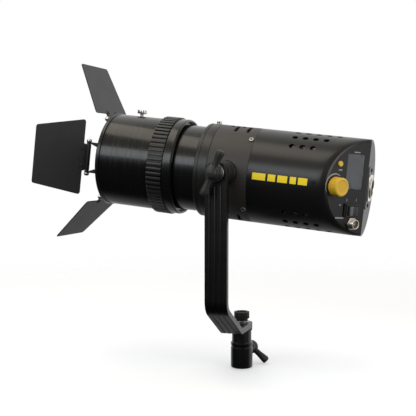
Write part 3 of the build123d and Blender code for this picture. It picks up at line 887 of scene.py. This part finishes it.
def makeLeaf(side, opening, outer):
    # Local X out along the door, local Y along the hinge, local Z to its outer face
    style = leafStyle
    swing = radians(opening)
    turn = Matrix(((-cos(swing), 0, sin(swing)), (0, -1, 0), (sin(swing), 0, cos(swing)))).to_4x4()
    half = style["sheet"] / 2
    start = style["start"]
    end = start + style["length"]
    round = style["corner"]
    inner = style["inner"] / 2
    tab = style["tab"] / 2
    corners = [(start, -inner, round), (end, -outer / 2, round), (end, outer / 2, round), (start, inner, round),
               (start, tab + 1.2, 0.8), (1.4, tab, 0.0), (1.4, -tab, 0.0), (start, -tab - 1.2, 0.8)]
    sheet = plate([rounded(corners, 5)], -half, half, 0.25)
    reach = style["knuckleReach"]
    knuckle = lathe([(style["bore"], -reach), (style["knuckle"], -reach, 0.3), (style["knuckle"], reach, 0.3),
                     (style["bore"], reach)], 32)
    width = style["bracket"]
    far = start + 4.5
    bracket = plate([rounded([(1.8, -width), (far, -width, 2.0), (far, width, 2.0), (1.8, width)], 4)],
                    half - 0.05, half + 0.45, 0.15)
    rivet = solid([(style["rivet"], half), (style["rivet"] - 0.1, half + 0.55, 0.4), (axisGap, half + 0.75)], 24)
    parts = [sheet, (knuckle, spun(90, "X")), bracket]
    for across in (-style["rivetAcross"], style["rivetAcross"]):
        spot = spotOn(start + 1.6, across, 0.4)
        parts += [(rivet, spot), (rivet, spun(180, "X", moved(spot, z=-0.8)))]
    show(f"{side}Leaf", joined(parts), f"leaf_{side}", "leaf_black", hingePlace(side) @ turn, f"leaf_{side}", 14)


makeBarrelScrew()
makeDoorRing()
makeStruts()
makePins()
for side, (opening, outer) in leafStyle["openings"].items():
    makeLeaf(side, opening, outer)
print("doors made")


# Yoke arm, washers and knobs

armStyle = {
    "ribs": 4, "groove": 1.7, "depth": 0.8, "round": 0.9, "bendHeight": 84.4, "upperBend": 16.0, "lowerBend": 9.0,
    "plateBend": 42.0, "thickness": 7.1, "steps": 10, "topPlain": 15.0, "endPlain": 16.0, "hole": 5.1,
}


def armPath():
    # Middle line of the bar as (y, z) points, from the top to the plate's end
    style = armStyle
    low = extent("yoke_arm")[0]
    outward = low.y + style["thickness"] / 2
    level = low.z + style["thickness"] / 2
    top = joints["head_tilt"]["pos_m"][2] / mm
    corners = [(outward, top), (outward, style["bendHeight"]), (-style["plateBend"], level), (0.0, level)]
    bends = {1: style["upperBend"], 2: style["lowerBend"]}
    line = [Vector(corners[0])]
    for index in (1, 2):
        here = Vector(corners[index])
        before = (Vector(corners[index - 1]) - here).normalized()
        after = (Vector(corners[index + 1]) - here).normalized()
        half = acos(before.dot(after)) / 2
        centre = here + (before + after).normalized() * bends[index] / sin(half)
        start = here + before * bends[index] / tan(half) - centre
        sweep = start.angle_signed(here + after * bends[index] / tan(half) - centre)
        for step in range(style["steps"] + 1):
            turn = -sweep * step / style["steps"]
            line.append(centre + Vector((start.x * cos(turn) - start.y * sin(turn),
                                         start.x * sin(turn) + start.y * cos(turn))))
    line.append(Vector(corners[3]))
    return line


def sideways(line):
    # Unit direction to the bar's outer face at each point of its middle line
    result = []
    for index in range(len(line)):
        along = (line[min(index + 1, len(line) - 1)] - line[max(index - 1, 0)]).normalized()
        result.append(Vector((along.y, -along.x)))
    return result


def ribbedSection(width, ribbed):
    # Outline across the bar as (across, outward) points, with grooves on the outer face if it is ribbed
    half = width / 2
    back = -armStyle["thickness"] / 2
    face = armStyle["thickness"] / 2
    edge = armStyle["round"]
    drop = armStyle["depth"] if ribbed else 0.0
    reach = armStyle["groove"] / 2
    side = [(-half + edge, back), (-half + edge * 0.3, back + edge * 0.3), (-half, back + edge),
            (-half, face - edge), (-half + edge * 0.3, face - edge * 0.3), (-half + edge, face)]
    groove = [(reach + 0.35, face), (reach, face - drop * 0.4), (reach - 0.3, face - drop)]
    section = list(side)
    for index in range(1, armStyle["ribs"]):
        centre = -half + index * width / armStyle["ribs"]
        section += [(centre - x, y) for x, y in groove] + [(centre + x, y) for x, y in reversed(groove)]
    return section + [(-x, y) for x, y in reversed(side)]


def makeArm():
    style = armStyle
    low, high = extent("yoke_arm")
    width = high.x - low.x
    line = armPath()
    grooveEnd = line[0] + Vector((0, -style["topPlain"]))
    plateEnd = line[-1] + Vector((-style["endPlain"], 0))
    line = [line[0], grooveEnd + Vector((0, 0.05)), grooveEnd, *line[1:-1],
            plateEnd, plateEnd + Vector((0.05, 0)), line[-1]]
    points = []
    faces = []
    for index, (spot, out) in enumerate(zip(line, sideways(line))):
        section = ribbedSection(width, 2 <= index <= len(line) - 3)
        for across, outward in section:
            stretch = spot + out * outward
            points.append((across, stretch.x, stretch.y))
    count = len(section)
    for base in range(0, (len(line) - 1) * count, count):
        for k in range(count):
            following = (k + 1) % count
            faces.append((base + k, base + following, base + count + following, base + count + k))
    faces.append(tuple(range(count)))
    faces.append(tuple(reversed(range((len(line) - 1) * count, len(line) * count))))
    half = width / 2
    thickness = style["thickness"]
    armOuter = extent("yoke_arm", tilt)[1].z
    ends = []
    for base, place in ((armOuter - thickness, tilt), (low.z, identity)):
        ends.append((solid([(half, base, 0.9), (half, base + thickness, 0.9)], 72), place))
    arm = carved(meshFrom(points, faces), ends, "UNION")
    hole = cylinder(style["hole"], 30)
    arm = carved(arm, [(hole, moved(tilt, z=armOuter - 3)), (hole, spotOn(0, 0, low.z + 3))])
    show("yokeArm", arm, "yoke", "arm_black", identity, "yoke_arm", 14)


teeStyle = {"voxel": 0.42, "smooth": 6, "cap": 6.2, "bolt": 4.9, "lobeHeight": 10.5, "lean": -23.5, "droop": 38.0}


def makeTee(name, body, place, replaced):
    # Moulded tee handle on local Z: lobes along X blended into the hub, with a domed cap
    style = teeStyle
    hub = lathe([(axisGap, 0), (8.2, 0), (8.2, 1.4), (7.2, 2.2), (6.8, 6.2), (8.0, 8.0), (8.0, 12.4), (6.4, 13.6),
                 (axisGap, 13.8)], 64)
    lobe = lathe([(axisGap, 2.0), (4.6, 2.0), (3.5, 8.0, 2.0), (3.6, 13.0, 3.0), (4.6, 21.5, 4.0), (4.5, 24.2, 1.6),
                  (3.2, 25.5, 0.8), (axisGap, 25.6)], 40)
    level = Matrix.Translation((0, 0, style["lobeHeight"] * mm))
    lobes = [(lobe, level @ spun(90, "Y", spun(turn, "Z"))) for turn in (0, 180)]
    blended = shaped(joined([hub, *lobes]), [
        ("REMESH", {"mode": "VOXEL", "voxel_size": style["voxel"] * mm}),
        ("SMOOTH", {"factor": 0.5, "iterations": style["smooth"]}),
        ("DECIMATE", {"ratio": 0.4}),
    ])
    handle = carved(blended, [cylinder(style["bolt"], 24)])
    cap = lathe([(axisGap, 12.6), (style["cap"], 12.6), (style["cap"], 15.4, 0.8), (4.4, 17.4, 1.6),
                 (axisGap, 18.0)], 48)
    show(name, joined([handle, cap]), body, "handle_black", place, replaced, 60)


def makeHandles():
    armOuter = extent("yoke_arm", tilt)[1].z
    tiltPlace = spun(teeStyle["lean"], "Z", moved(tilt, z=armOuter + 1.8))
    makeTee("tiltHandle", "tilt_handle", tiltPlace, "tilt_handle")
    lockJoint = joints["receiver_lock_turn"]
    out = Vector(lockJoint["axis"])
    level = Vector((0, 0, 1)).cross(out)
    droop = radians(teeStyle["droop"])
    bar = -level * cos(droop) + Vector((0, 0, -1)) * sin(droop)
    seat = extent("lock_handle", placeOf(lockJoint["pos_m"], bar, out))[0].z
    lockPlace = placeOf(Vector(lockJoint["pos_m"]) + out * seat * mm, bar, out)
    makeTee("lockHandle", "receiver_lock", lockPlace, "lock_handle")


discStyle = {
    "tooth": 0.35, "edge": 0.4, "step": 3.5, "neck": 11.0, "bossNeck": 12.0, "bossBore": 5.0, "bossDepth": 12.0,
}


def makeDisc(name, node, body, finish, place, teeth=0):
    # Washer or friction disc rebuilt with soft edges, and a fluted rim if it has teeth
    low, high = extent(node, place)
    outer = high.x
    hole = boreOf(node, place)
    if teeth:
        outline = toothed(outer, teeth, discStyle["tooth"])
        mesh = plate([outline, circle(hole, 48)], low.z, high.z, 0.15)
    else:
        edge = min(discStyle["edge"], (high.z - low.z) * 0.3)
        mesh = lathe([(hole, low.z), (outer, low.z, edge), (outer, high.z, edge), (hole, high.z)], 72)
    show(name, mesh, body, finish, place, node)


def boreOf(node, place):
    # Smallest distance of a node's points from local Z, in millimetres
    inverse = place.inverted()
    reach = min((inverse @ vertex.co).to_2d().length for vertex in nodes[node].data.vertices)
    return reach / mm


def makeDiscs():
    style = discStyle
    makeDisc("tiltWasher", "tilt_washer", "yoke", "steel", tilt)
    makeDisc("lampDisc", "tilt_disc_lamp", "head", "friction_disc", tilt, 60)
    makeDisc("panWasher", "pan_washer", "yoke", "steel", identity)
    makeDisc("panDisc", "pan_disc", "receiver", "friction_disc", identity)
    low, high = extent("tilt_disc_yoke", tilt)
    hole = boreOf("tilt_disc_yoke", tilt)
    step = high.z - style["step"]
    neck = style["neck"]
    stack = lathe([(hole, low.z), (high.x, low.z, 0.5), (high.x, step, 0.5), (neck, step + 0.05, 0.1),
                   (neck, high.z, 0.3), (hole, high.z)], 72)
    show("armDisc", stack, "yoke", "friction_disc", tilt, "tilt_disc_yoke")
    low, high = extent("tilt_boss", tilt)
    base = extent("front_housing", tilt)[1].z
    neck = style["bossNeck"]
    bore = style["bossBore"]
    floor = high.z - style["bossDepth"]
    boss = lathe([(axisGap, low.z), (high.x, low.z), (high.x, base + 6.0, 0.7), (neck, base + 6.2, 0.2),
                  (neck, high.z, 0.5), (bore, high.z), (bore, floor), (axisGap, floor)], 72)
    show("tiltBoss", boss, "head", "boss_black", tilt, "tilt_boss")


makeArm()
makeHandles()
makeDiscs()
print("yoke made")


# Receiver and pan knob

receiverStyle = {"neck": 11.6, "bore": 8.05, "boss": 7.6, "screwHole": 5.0}


def makeReceiver():
    style = receiverStyle
    high = extent("receiver_body")[1]
    outer = high.x
    neck, bore, boss, hole = style["neck"], style["bore"], style["boss"], style["screwHole"]
    shell = lathe([
        (bore, 0.0), (outer - 1.2, 0.0, 0.4), (outer, 1.2, 0.5), (outer, 24.5, 0.4), (outer - 0.7, 25.2, 0.2),
        (outer - 0.7, 26.4, 0.2), (outer, 27.1, 0.4), (outer, 30.4, 0.7), (neck, 30.8, 0.3), (neck, high.z, 0.4),
        (hole, high.z), (hole, 36.5), (axisGap, 36.5), (axisGap, 33.0), (bore - 0.4, 33.0, 0.5), (bore, 32.0),
    ], 120)
    lockJoint = joints["receiver_lock_turn"]
    lock = placeOf(lockJoint["pos_m"], (0, 0, 1), lockJoint["axis"])
    reach = extent("receiver_body", lock)[1].z
    socket = lathe([(hole, bore + 1.4), (boss, bore + 1.4), (boss, reach, 0.7), (hole, reach, 0.4)], 64)
    drilled = carved(shell, [(cylinder(hole, 20), moved(lock, z=14.0))])
    show("receiverBody", joined([drilled, (socket, lock)]), "receiver", "receiver_black", identity,
         "receiver_body", 30)


panKnobStyle = {"flutes": 24, "depth": 0.55, "edge": 0.7, "bore": 6.4}


def makePanKnob():
    style = panKnobStyle
    bore = style["bore"]
    low, high = extent("pan_knob")
    outline = fluted(high.x, style["flutes"], style["depth"])
    grip = plate([outline, circle(bore, 64)], low.z + 2.4, high.z, style["edge"])
    collar = lathe([(bore, low.z), (bore + 1, low.z, 0.4), (bore + 1, low.z + 2.5), (bore, low.z + 2.5)], 64)
    web = lathe([(axisGap, high.z - 2.8), (6.6, high.z - 2.8), (6.6, high.z - 1.8), (2.0, high.z - 1.7, 0.5),
                 (axisGap, high.z - 1.4)], 48)
    show("panKnob", joined([grip, collar, web]), "pan_knob", "knob_black", identity, "pan_knob", 40)


makeReceiver()
makePanKnob()
print("receiver made")


# Slanted panel and its controls

panelStyle = {
    "shaftHole": 3.2, "buttonHole": 3.15, "switchHole": (17.1, 11.8), "jackHole": 5.65, "screenGap": 0.1,
}


def panelOutline(radius):
    # Edge of the slanted face where it meets a tube of this radius, as (x, y) points in the panel's place
    flat = Vector((0, 1, 0)).dot(panel.to_3x3() @ Vector((1, 0, 0)))
    outline = []
    limit = sqrt(radius ** 2 - ridgeOffset ** 2)
    count = 72
    for index in range(count + 1):
        rise = -limit * cos(pi * index / count)
        across = -sqrt(max(radius ** 2 - rise ** 2, 0.0)) - ridgeOffset
        outline.append((min(across / flat, -0.01), rise))
    return outline


def makePanel():
    style = panelStyle
    outline = panelOutline(extent("rear_housing", lamp)[1].y - rearStyle["wall"] - 0.15)
    sheet = plate([outline], extent("control_panel", panel)[0].z, 0.0, 0.25)
    low, high = extent("screen_window", panel)
    screen = (high.x - low.x + style["screenGap"], high.y - low.y + style["screenGap"])
    shaft = panel.inverted() @ Vector(joints["dial_turn"]["pos_m"])
    cutters = [(cylinder(style["shaftHole"], 20), Matrix.Translation(shaft))]
    for name, cutter in (
        ("screen_window", slab(screen, -10, 10, 0.5)), ("menu_button", cylinder(style["buttonHole"], 20)),
        ("switch_frame", slab(style["switchHole"], -14, 10, 0.4)),
        ("service_port", slab(portStyle["size"], -14, 10, 0.5)), ("jack_body", cylinder(style["jackHole"], 20)),
    ):
        cutters.append((cutter, spotOn(*middle(name, panel).xy)))
    show("controlPanel", carved(sheet, cutters), "head", "panel_black", panel, "control_panel", 14)


portStyle = {"size": (3.2, 15.2), "wall": 0.48, "pins": 5, "pinPitch": 2.4}
dialStyle = {"flutes": 36, "flute": 0.28, "skirt": 1.6, "edge": 1.0, "bore": 3.2}


def makeDial():
    style = dialStyle
    place = moved(panel, *middle("control_dial", panel))
    low, high = extent("control_dial", place)
    outer = high.x
    seam = low.z + style["skirt"]
    under = high.z - style["edge"] - 0.1
    grip = plate([fluted(outer - 0.25, style["flutes"], style["flute"])], seam, high.z - style["edge"], 0.2)
    skirt = lathe([(style["bore"], low.z), (outer, low.z, 0.3), (outer, seam, 0.3), (style["bore"], seam)], 96)
    cap = lathe([(axisGap, under), (outer - 0.5, under), (outer - 0.5, high.z - 0.7, 0.5), (outer - 1.6, high.z, 0.4),
                 (outer - 2.6, high.z, 0.4), (outer - 3.6, high.z - 0.45, 0.4), (axisGap, high.z - 0.35)], 96)
    show("controlDial", joined([grip, skirt, cap]), "dial", "dial_yellow", place, "control_dial", 40)


def makeButton():
    place = moved(panel, *middle("menu_button", panel))
    low, high = extent("menu_button", place)
    radius = high.x
    button = lathe([(axisGap, low.z), (radius, low.z), (radius, high.z - 0.25, 0.6), (radius - 1.0, high.z, 0.5),
                    (radius - 1.6, high.z - 0.2, 0.6), (axisGap, high.z - 0.3)], 48)
    show("menuButton", button, "menu_button", "button_yellow", place, "menu_button")


screenStyle = {"margin": 0.5, "recess": 0.2, "level": -2.5}


def makeScreen():
    level = screenStyle["level"]
    low, high = extent("screen_window", panel)
    centre = (low + high) / 2
    width, height = high.x - low.x, high.y - low.y
    window = slab((width - 0.05, height - 0.05), low.z, high.z, 0.6, 0.15, centre)
    show("screenWindow", window, "head", "screen_glass", panel, "screen_window", 14)
    low, high = extent("screen_module", panel)
    lit = (width - 2 * screenStyle["margin"], height - 2 * screenStyle["margin"])
    back = slab(high - low, low.z, level, 0.5, 0.2, centre)
    rim = plate([rectangle(width - 0.1, height - 0.1, 0.5, *centre.xy), rectangle(*lit, 0.4, *centre.xy)],
                level, high.z, 0.1)
    face = slab((lit[0] + 0.2, lit[1] + 0.2), level - 0.1, high.z - screenStyle["recess"], 0.3, 0.02, centre)
    show("screenModule", joined([back, rim, face]), "head", "screen_grey", panel, "screen_module", 14)


rockerStyle = {
    "frame": (20.5, 14.6), "cavity": (16.1, 11.0), "well": (17.0, 11.7), "floor": 2, "length": 15.5, "width": 10.4,
    "rock": 8.0, "faceSlope": 9.8, "markLift": 0.12,
}


def makeRocker():
    style = rockerStyle
    low, high = extent("switch_frame", panel)
    centre = ((low + high) / 2).xy
    floorTop = low.z + style["floor"]
    cavity = rectangle(*style["cavity"], 0.4, *centre)
    well = rectangle(*style["well"], 0.4, *centre)
    lip = plate([rectangle(*style["frame"], 0.9, *centre), cavity], 0.0, high.z, 0.35)
    parts = [lip, plate([well, cavity], floorTop, 0.1), plate([well], low.z, floorTop)]
    show("switchFrame", joined(parts), "head", "insert_black", panel, "switch_frame")
    pivot = placeOf(joints["power_switch_rock"]["pos_m"], panel.to_3x3() @ Vector((1, 0, 0)), panelOut)
    half = style["length"] / 2
    profile = rounded([(1.3 - half, -4.0), (half - 1.3, -4.0), (half, 2.55, 0.5), (0.4, 1.2, 2.0), (-0.4, 1.2, 2.0),
                       (-half, 2.55, 0.5)], 5)
    body = plate([profile], -style["width"] / 2, style["width"] / 2, 0.35)
    upright = Matrix(((1, 0, 0), (0, 0, -1), (0, 1, 0))).to_4x4()
    mark = slab((0.6, 3.4), 0, style["markLift"], 0.2)
    ring = plate([circle(1.7, 32), circle(1.2, 32)], 0, style["markLift"])
    slope = style["faceSlope"]
    parts = [(body, upright)]
    for mesh, x, sign in ((mark, half * 0.55, 1), (ring, -half * 0.55, -1)):
        level = 1.25 + abs(x) * tan(radians(slope))
        parts.append((mesh, spun(-sign * slope, "Y", spotOn(x, 0, level - 0.08))))
    place = spun(style["rock"], "Y", pivot)
    show("powerRocker", joined(parts), "power_switch", "rocker_grey", place, "power_rocker")


def makePort():
    style = portStyle
    low, high = extent("service_port", panel)
    centre = ((low + high) / 2).xy
    width, height = style["size"]
    wall = style["wall"]
    shell = plate([rectangle(width - 0.1, height - 0.1, 0.5, *centre),
                   rectangle(width - 2 * wall, height - 2 * wall, 0.3, *centre)], low.z + 2.0, high.z, 0.1)
    block = slab((width + 2.2, height + 2.2), low.z, low.z + 2.2, 0.6, 0.2, centre)
    pin = slab((0.5, 0.9), low.z + 2, high.z - 2.2, 0.1, 0.05)
    parts = [shell, block]
    for index in range(style["pins"]):
        step = (index - (style["pins"] - 1) / 2) * style["pinPitch"]
        parts.append((pin, spotOn(centre.x, centre.y + step)))
    show("servicePort", joined(parts), "head", "insert_black", panel, "service_port")


jackStyle = {"pitch": 0.75, "depth": 0.35, "bore": 4.0, "threadStart": 2.6, "floor": -3.0}


def makeJack():
    style = jackStyle
    place = moved(panel, *middle("jack_body", panel).xy)
    low, high = extent("jack_body", place)
    outer = high.x
    bore = style["bore"]
    floor = style["floor"]
    level = style["threadStart"]
    profile = [(axisGap, low.z), (outer, low.z, 0.4), (outer, level)]
    while level < high.z - 1.0:
        profile += [(outer - style["depth"], level + 0.3), (outer, level + 0.55), (outer, level + 0.65)]
        level += style["pitch"]
    profile += [(outer - 0.5, high.z, 0.3), (bore, high.z, 0.3), (bore, floor), (axisGap, floor)]
    pin = lathe([(axisGap, floor - 0.2), (1.1, floor - 0.2), (1.1, 5.4, 0.4), (0.5, 6.0, 0.3), (axisGap, 6.0)], 24)
    show("jackBody", joined([lathe(profile, 64), pin]), "head", "connector_silver", place, "jack_body", 30)
    low, high = extent("jack_nut", place)
    nut = plate([circle(high.x, 6), circle(5.66, 48)], low.z, high.z, 0.3)
    show("jackNut", nut, "head", "connector_silver", place, "jack_nut")


makePanel()
makeDial()
makeButton()
makeScreen()
makeRocker()
makePort()
makeJack()
print("panel made")


# Rear face and its connector

connectorStyle = {
    "flange": (26.0, 30.0), "flangeCorner": 3.5, "outer": 12.0, "inner": 10.2, "hole": 11.0, "contacts": 8,
    "contactPitch": 1.2, "faceLevel": -9.0,
}


def makeRearPlates():
    hole = connectorStyle["hole"]
    low, high = extent("rear_plate", rearFace)
    radius = high.x
    start = low.x + 0.02
    arc = [(sqrt(radius ** 2 - y ** 2), y) for y in (radius * sin(radians(a)) for a in range(-89, 90, 3))]
    arc = [(x, y) for x, y in arc if x > start]
    outline = [(start, arc[0][1]), *arc, (start, arc[-1][1])]
    centre = middle("connector_plate", rearFace).x
    cutters = [(cylinder(hole, 20), spotOn(centre, 0))]
    cutters += [(cylinder(1.3, 20), spotOn(centre, y)) for y in (screwStyle["plateReach"], -screwStyle["plateReach"])]
    sheet = carved(plate([outline], low.z, high.z, 0.2), cutters)
    show("rearPlate", sheet, "head", "plate_grey", rearFace, "rear_plate", 14)
    low, high = extent("connector_plate", rearFace)
    skin = plate([rectangle(high.x - low.x, high.y - low.y, 2.2, centre, 0.0), circle(hole, 72, centre)],
                 low.z, high.z, 0.2)
    show("connectorPlate", skin, "head", "plate_grey", rearFace, "connector_plate", 14)


def makeConnector():
    style = connectorStyle
    place = moved(rearFace, middle("connector_shell", rearFace).x)
    low, high = extent("connector_shell", place)
    base = extent("connector_plate", rearFace)[1].z
    outer, inner, level = style["outer"], style["inner"], style["faceLevel"]
    flange = plate([rectangle(*style["flange"], style["flangeCorner"]), circle(inner, 72)], base, base + 1.5, 0.25)
    ring = lathe([
        (inner, low.z + 4), (outer - 1.05, low.z, 0.3), (outer - 1.05, base), (outer, base + 0.1),
        (outer, high.z - 0.3, 0.7), (outer - 0.7, high.z, 0.4), (inner + 0.4, high.z, 0.3), (inner, high.z - 0.5),
    ], 96)
    notch = slab((6.4, 6.4), high.z - 1.9, high.z + 2, 0.4)
    rib = slab((1.2, 0.9), low.z + 5, high.z - 0.8, 0.2, 0.1)
    keys = [(rib, moved(spun(angle, "Z"), inner - 0.1)) for angle in (200, 340)]
    parts = [carved(ring, [(notch, spotOn(0, 9.6))]), flange, *keys]
    show("connectorShell", joined(parts), "head", "connector_silver", place, "connector_shell")
    low, high = extent("connector_insert", place)
    openings = [rectangle(12.0, 8.4, 0.6, 0.0, 0.4), rectangle(5.0, 2.2, 0.4, 0.0, -5.4)]
    parts = [plate([circle(inner - 0.02, 72), *openings], level, high.z, 0.15),
             plate([circle(inner - 0.05, 72)], low.z, level, 0.1)]
    contact = slab((0.45, 3.0), level - 0.1, -2.0, 0.1, 0.05)
    for index in range(style["contacts"]):
        step = index - (style["contacts"] - 1) / 2
        parts.append((contact, spotOn(step * style["contactPitch"], 2.6)))
    show("connectorInsert", joined(parts), "head", "insert_black", place, "connector_insert")
    low, high = extent("connector_latch", place)
    size = high - low
    centre = (low + high) / 2
    ridge = slab((size.x - 1.6, 0.35), high.z - 0.1, high.z - 0.02, 0.1)
    parts = [slab(size, low.z, high.z, 0.8, 0.25, centre)]
    parts += [(ridge, spotOn(centre.x, centre.y + step)) for step in (-0.9, 0.0, 0.9)]
    show("connectorLatch", joined(parts), "connector_latch", "connector_silver", place, "connector_latch")


makeRearPlates()
makeConnector()
print("connector made")


# Printing: plain bars and marks in place of the lettering

printStyle = {
    "lift": 0.06, "barStart": 31.3, "barAngles": (-2.6, 5.4),
    "bars": ((15.0, 2.6), (8.6, 2.4), (11.0, 2.8), (7.0, 2.2), (10.2, 0.0)),  # length, gap to the next
    "arcRadius": (12.9, 13.4), "arcSwell": 0.9, "arcStart": 60, "arcSweep": 150, "arcSteps": 28,
    "marks": ((-27.9, -14.2, 0.7, 3.2), (-13.5, -13.7, 0.7, 3.2), (-36.6, -34.3, 12.3, 1.5), (-42.6, 18.0, 5.2, 1.3),
              (-20.1, 38.6, 9.0, 1.2)),
    "dot": (-37.4, -20.1),
}


def wrapped(stations, angles, radius, lift):
    # Thin patch laid round the tube between two stations and two angles
    steps = 10
    mesh = bmesh.new()
    rings = []
    for index in range(steps + 1):
        turn = radians(angles[0] + (angles[1] - angles[0]) * index / steps)
        rings.append([
            mesh.verts.new(Vector((-(radius + rise) * sin(turn), -(radius + rise) * cos(turn), station)) * mm)
            for station in stations for rise in (-0.02, lift)
        ])
    for before, after in zip(rings, rings[1:]):
        for a, b in ((0, 1), (1, 3), (3, 2), (2, 0)):
            mesh.faces.new((before[a], before[b], after[b], after[a]))
    mesh.faces.new((rings[0][0], rings[0][2], rings[0][3], rings[0][1]))
    mesh.faces.new((rings[-1][0], rings[-1][1], rings[-1][3], rings[-1][2]))
    bmesh.ops.recalc_face_normals(mesh, faces=mesh.faces)
    result = bpy.data.meshes.new("mesh")
    mesh.to_mesh(result)
    mesh.free()
    return result


def makePrinting():
    style = printStyle
    lift = style["lift"]
    outer = extent("rear_housing", lamp)[1].y
    station = style["barStart"]
    bars = []
    for length, gap in style["bars"]:
        bars.append(wrapped((station, station + length), style["barAngles"], outer, lift))
        station += length + gap
    show("yellowBars", joined(bars), "head", "print_yellow", lamp)
    inner, outer = style["arcRadius"]
    arc = []
    inside = []
    for index in range(style["arcSteps"] + 1):
        share = index / style["arcSteps"]
        angle = radians(style["arcStart"] + style["arcSweep"] * share)
        reach = outer + style["arcSwell"] * sin(pi * share)
        arc.append((reach * cos(angle), reach * sin(angle)))
        inside.append((inner * cos(angle), inner * sin(angle)))
    crescent = plate([arc + inside[::-1]], 0.0, lift)
    marks = [(crescent, spotOn(*middle("control_dial", panel).xy))]
    marks += [(slab((width, height), 0.0, lift, 0.2), spotOn(x, y)) for x, y, width, height in style["marks"]]
    marks.append((plate([circle(0.9, 20)], 0.0, lift), spotOn(*style["dot"])))
    show("panelMarks", joined(marks), "head", "print_pale", panel)


makePrinting()
print("printing made")


# Stage: floor, lights, camera

stageStyle = {
    "floorReach": 2.4, "fadeStart": 0.35, "fadeEnd": 1.3,
    "keyPower": 7.0, "topPower": 6.0, "panelPower": 0.75,
}
cameraStyle = {"azimuth": 18.11, "elevation": 3.04, "distance": 1.0593, "lens": 76.23,
               "target": (-0.04253, 0.00037, 0.18971)}


def makeFloor():
    reach = stageStyle["floorReach"] / mm
    mesh = meshFrom([(x, y, -0.3) for x, y in circle(reach, 96)], [tuple(range(96))])
    floor = bpy.data.objects.new("floor", mesh)
    bpy.context.scene.collection.objects.link(floor)
    finish = Finish("floorPaint", Roughness=0.9, Base_Color=(0.86, 0.88, 0.93), Emission_Color=(1.0, 1.0, 1.0),
                    Emission_Strength=0.35)
    spot = finish.add("ShaderNodeVectorMath", {"operation": "LENGTH"}, {0: finish.where()}, "Value")
    clear = finish.add("ShaderNodeBsdfTransparent")
    fade = spot.above((stageStyle["fadeStart"] + stageStyle["fadeEnd"]) / 2,
                      stageStyle["fadeEnd"] - stageStyle["fadeStart"])
    blend = finish.add("ShaderNodeMixShader", inputs={0: fade})
    finish.tree.links.new(finish.shader.outputs[0], blend.socket.node.inputs[1])
    finish.tree.links.new(clear.socket, blend.socket.node.inputs[2])
    finish.tree.links.new(blend.socket, finish.tree.nodes["Material Output"].inputs["Surface"])
    mesh.materials.append(finish.data)
    floor.visible_glossy = False
    floor.visible_diffuse = False


def makeWorld():
    world = bpy.data.worlds.new("studio")
    bpy.context.scene.world = world
    finish = Finish("studio", world)
    direction = finish.add("ShaderNodeTexCoord", output="Generated")
    split = finish.add("ShaderNodeSeparateXYZ", inputs={"Vector": direction})
    outputs = split.socket.node.outputs
    depth = Value(finish, outputs[1])
    height = Value(finish, outputs[2])
    front = finish.add("ShaderNodeValToRGB", {"stops": (
        (0.0, (0.012, 0.012, 0.012)), (0.47, (0.012, 0.012, 0.013)), (0.57, (0.26, 0.28, 0.30)),
        (0.72, (0.30, 0.28, 0.24)), (1.0, (0.42, 0.38, 0.32)),
    )}, {"Fac": height * 0.5 + 0.5})
    back = finish.add("ShaderNodeValToRGB", {"stops": (
        (0.0, (0.2, 0.2, 0.2)), (0.3, (0.5, 0.5, 0.5)), (0.45, (1.0, 1.0, 1.0)), (1.0, (0.9, 0.9, 0.88)),
    )}, {"Fac": height * 0.5 + 0.5})
    room = finish.mix(depth.above(0.25, 0.5), front, back)
    sight = finish.add("ShaderNodeLightPath", output="Is Camera Ray")
    shade = finish.tree.nodes["Background"]
    finish.connect(shade.inputs["Color"], finish.mix(sight, room, (1.0, 1.0, 1.0)))


def makeLight(name, direction, distance, size, power, colour):
    light = bpy.data.lights.new(name, "AREA")
    light.shape = "RECTANGLE"
    light.size, light.size_y = size
    light.energy = power
    light.color = colour
    holder = bpy.data.objects.new(name, light)
    bpy.context.scene.collection.objects.link(holder)
    centre = Vector(cameraStyle["target"])
    out = Vector(direction).normalized()
    holder.location = centre + out * distance
    holder.rotation_euler = out.to_track_quat("Z", "Y").to_euler()
    holder.visible_camera = False


def makeCamera():
    data = bpy.data.cameras.new("camera")
    data.lens = cameraStyle["lens"]
    data.sensor_width = 36.0
    data.clip_end = 50.0
    camera = bpy.data.objects.new("camera", data)
    bpy.context.scene.collection.objects.link(camera)
    turn = radians(cameraStyle["azimuth"])
    rise = radians(cameraStyle["elevation"])
    back = Vector((sin(turn) * cos(rise), -cos(turn) * cos(rise), sin(rise)))
    camera.location = Vector(cameraStyle["target"]) + back * cameraStyle["distance"]
    camera.rotation_euler = back.to_track_quat("Z", "Y").to_euler()
    bpy.context.scene.camera = camera


makeFloor()
makeWorld()
makeLight("keyLight", (-0.31, -0.87, 0.36), 1.6, (1.5, 0.55), stageStyle["keyPower"], (0.93, 0.97, 1.0))
makeLight("topLight", (-0.2, -0.25, 0.95), 1.5, (1.4, 0.7), stageStyle["topPower"], (1.0, 0.94, 0.82))
makeLight("panelLight", (0.93, -0.34, 0.14), 0.62, (0.32, 0.32), stageStyle["panelPower"], (1.0, 0.98, 0.95))
makeCamera()
bpy.context.scene.view_settings.view_transform = "Standard"
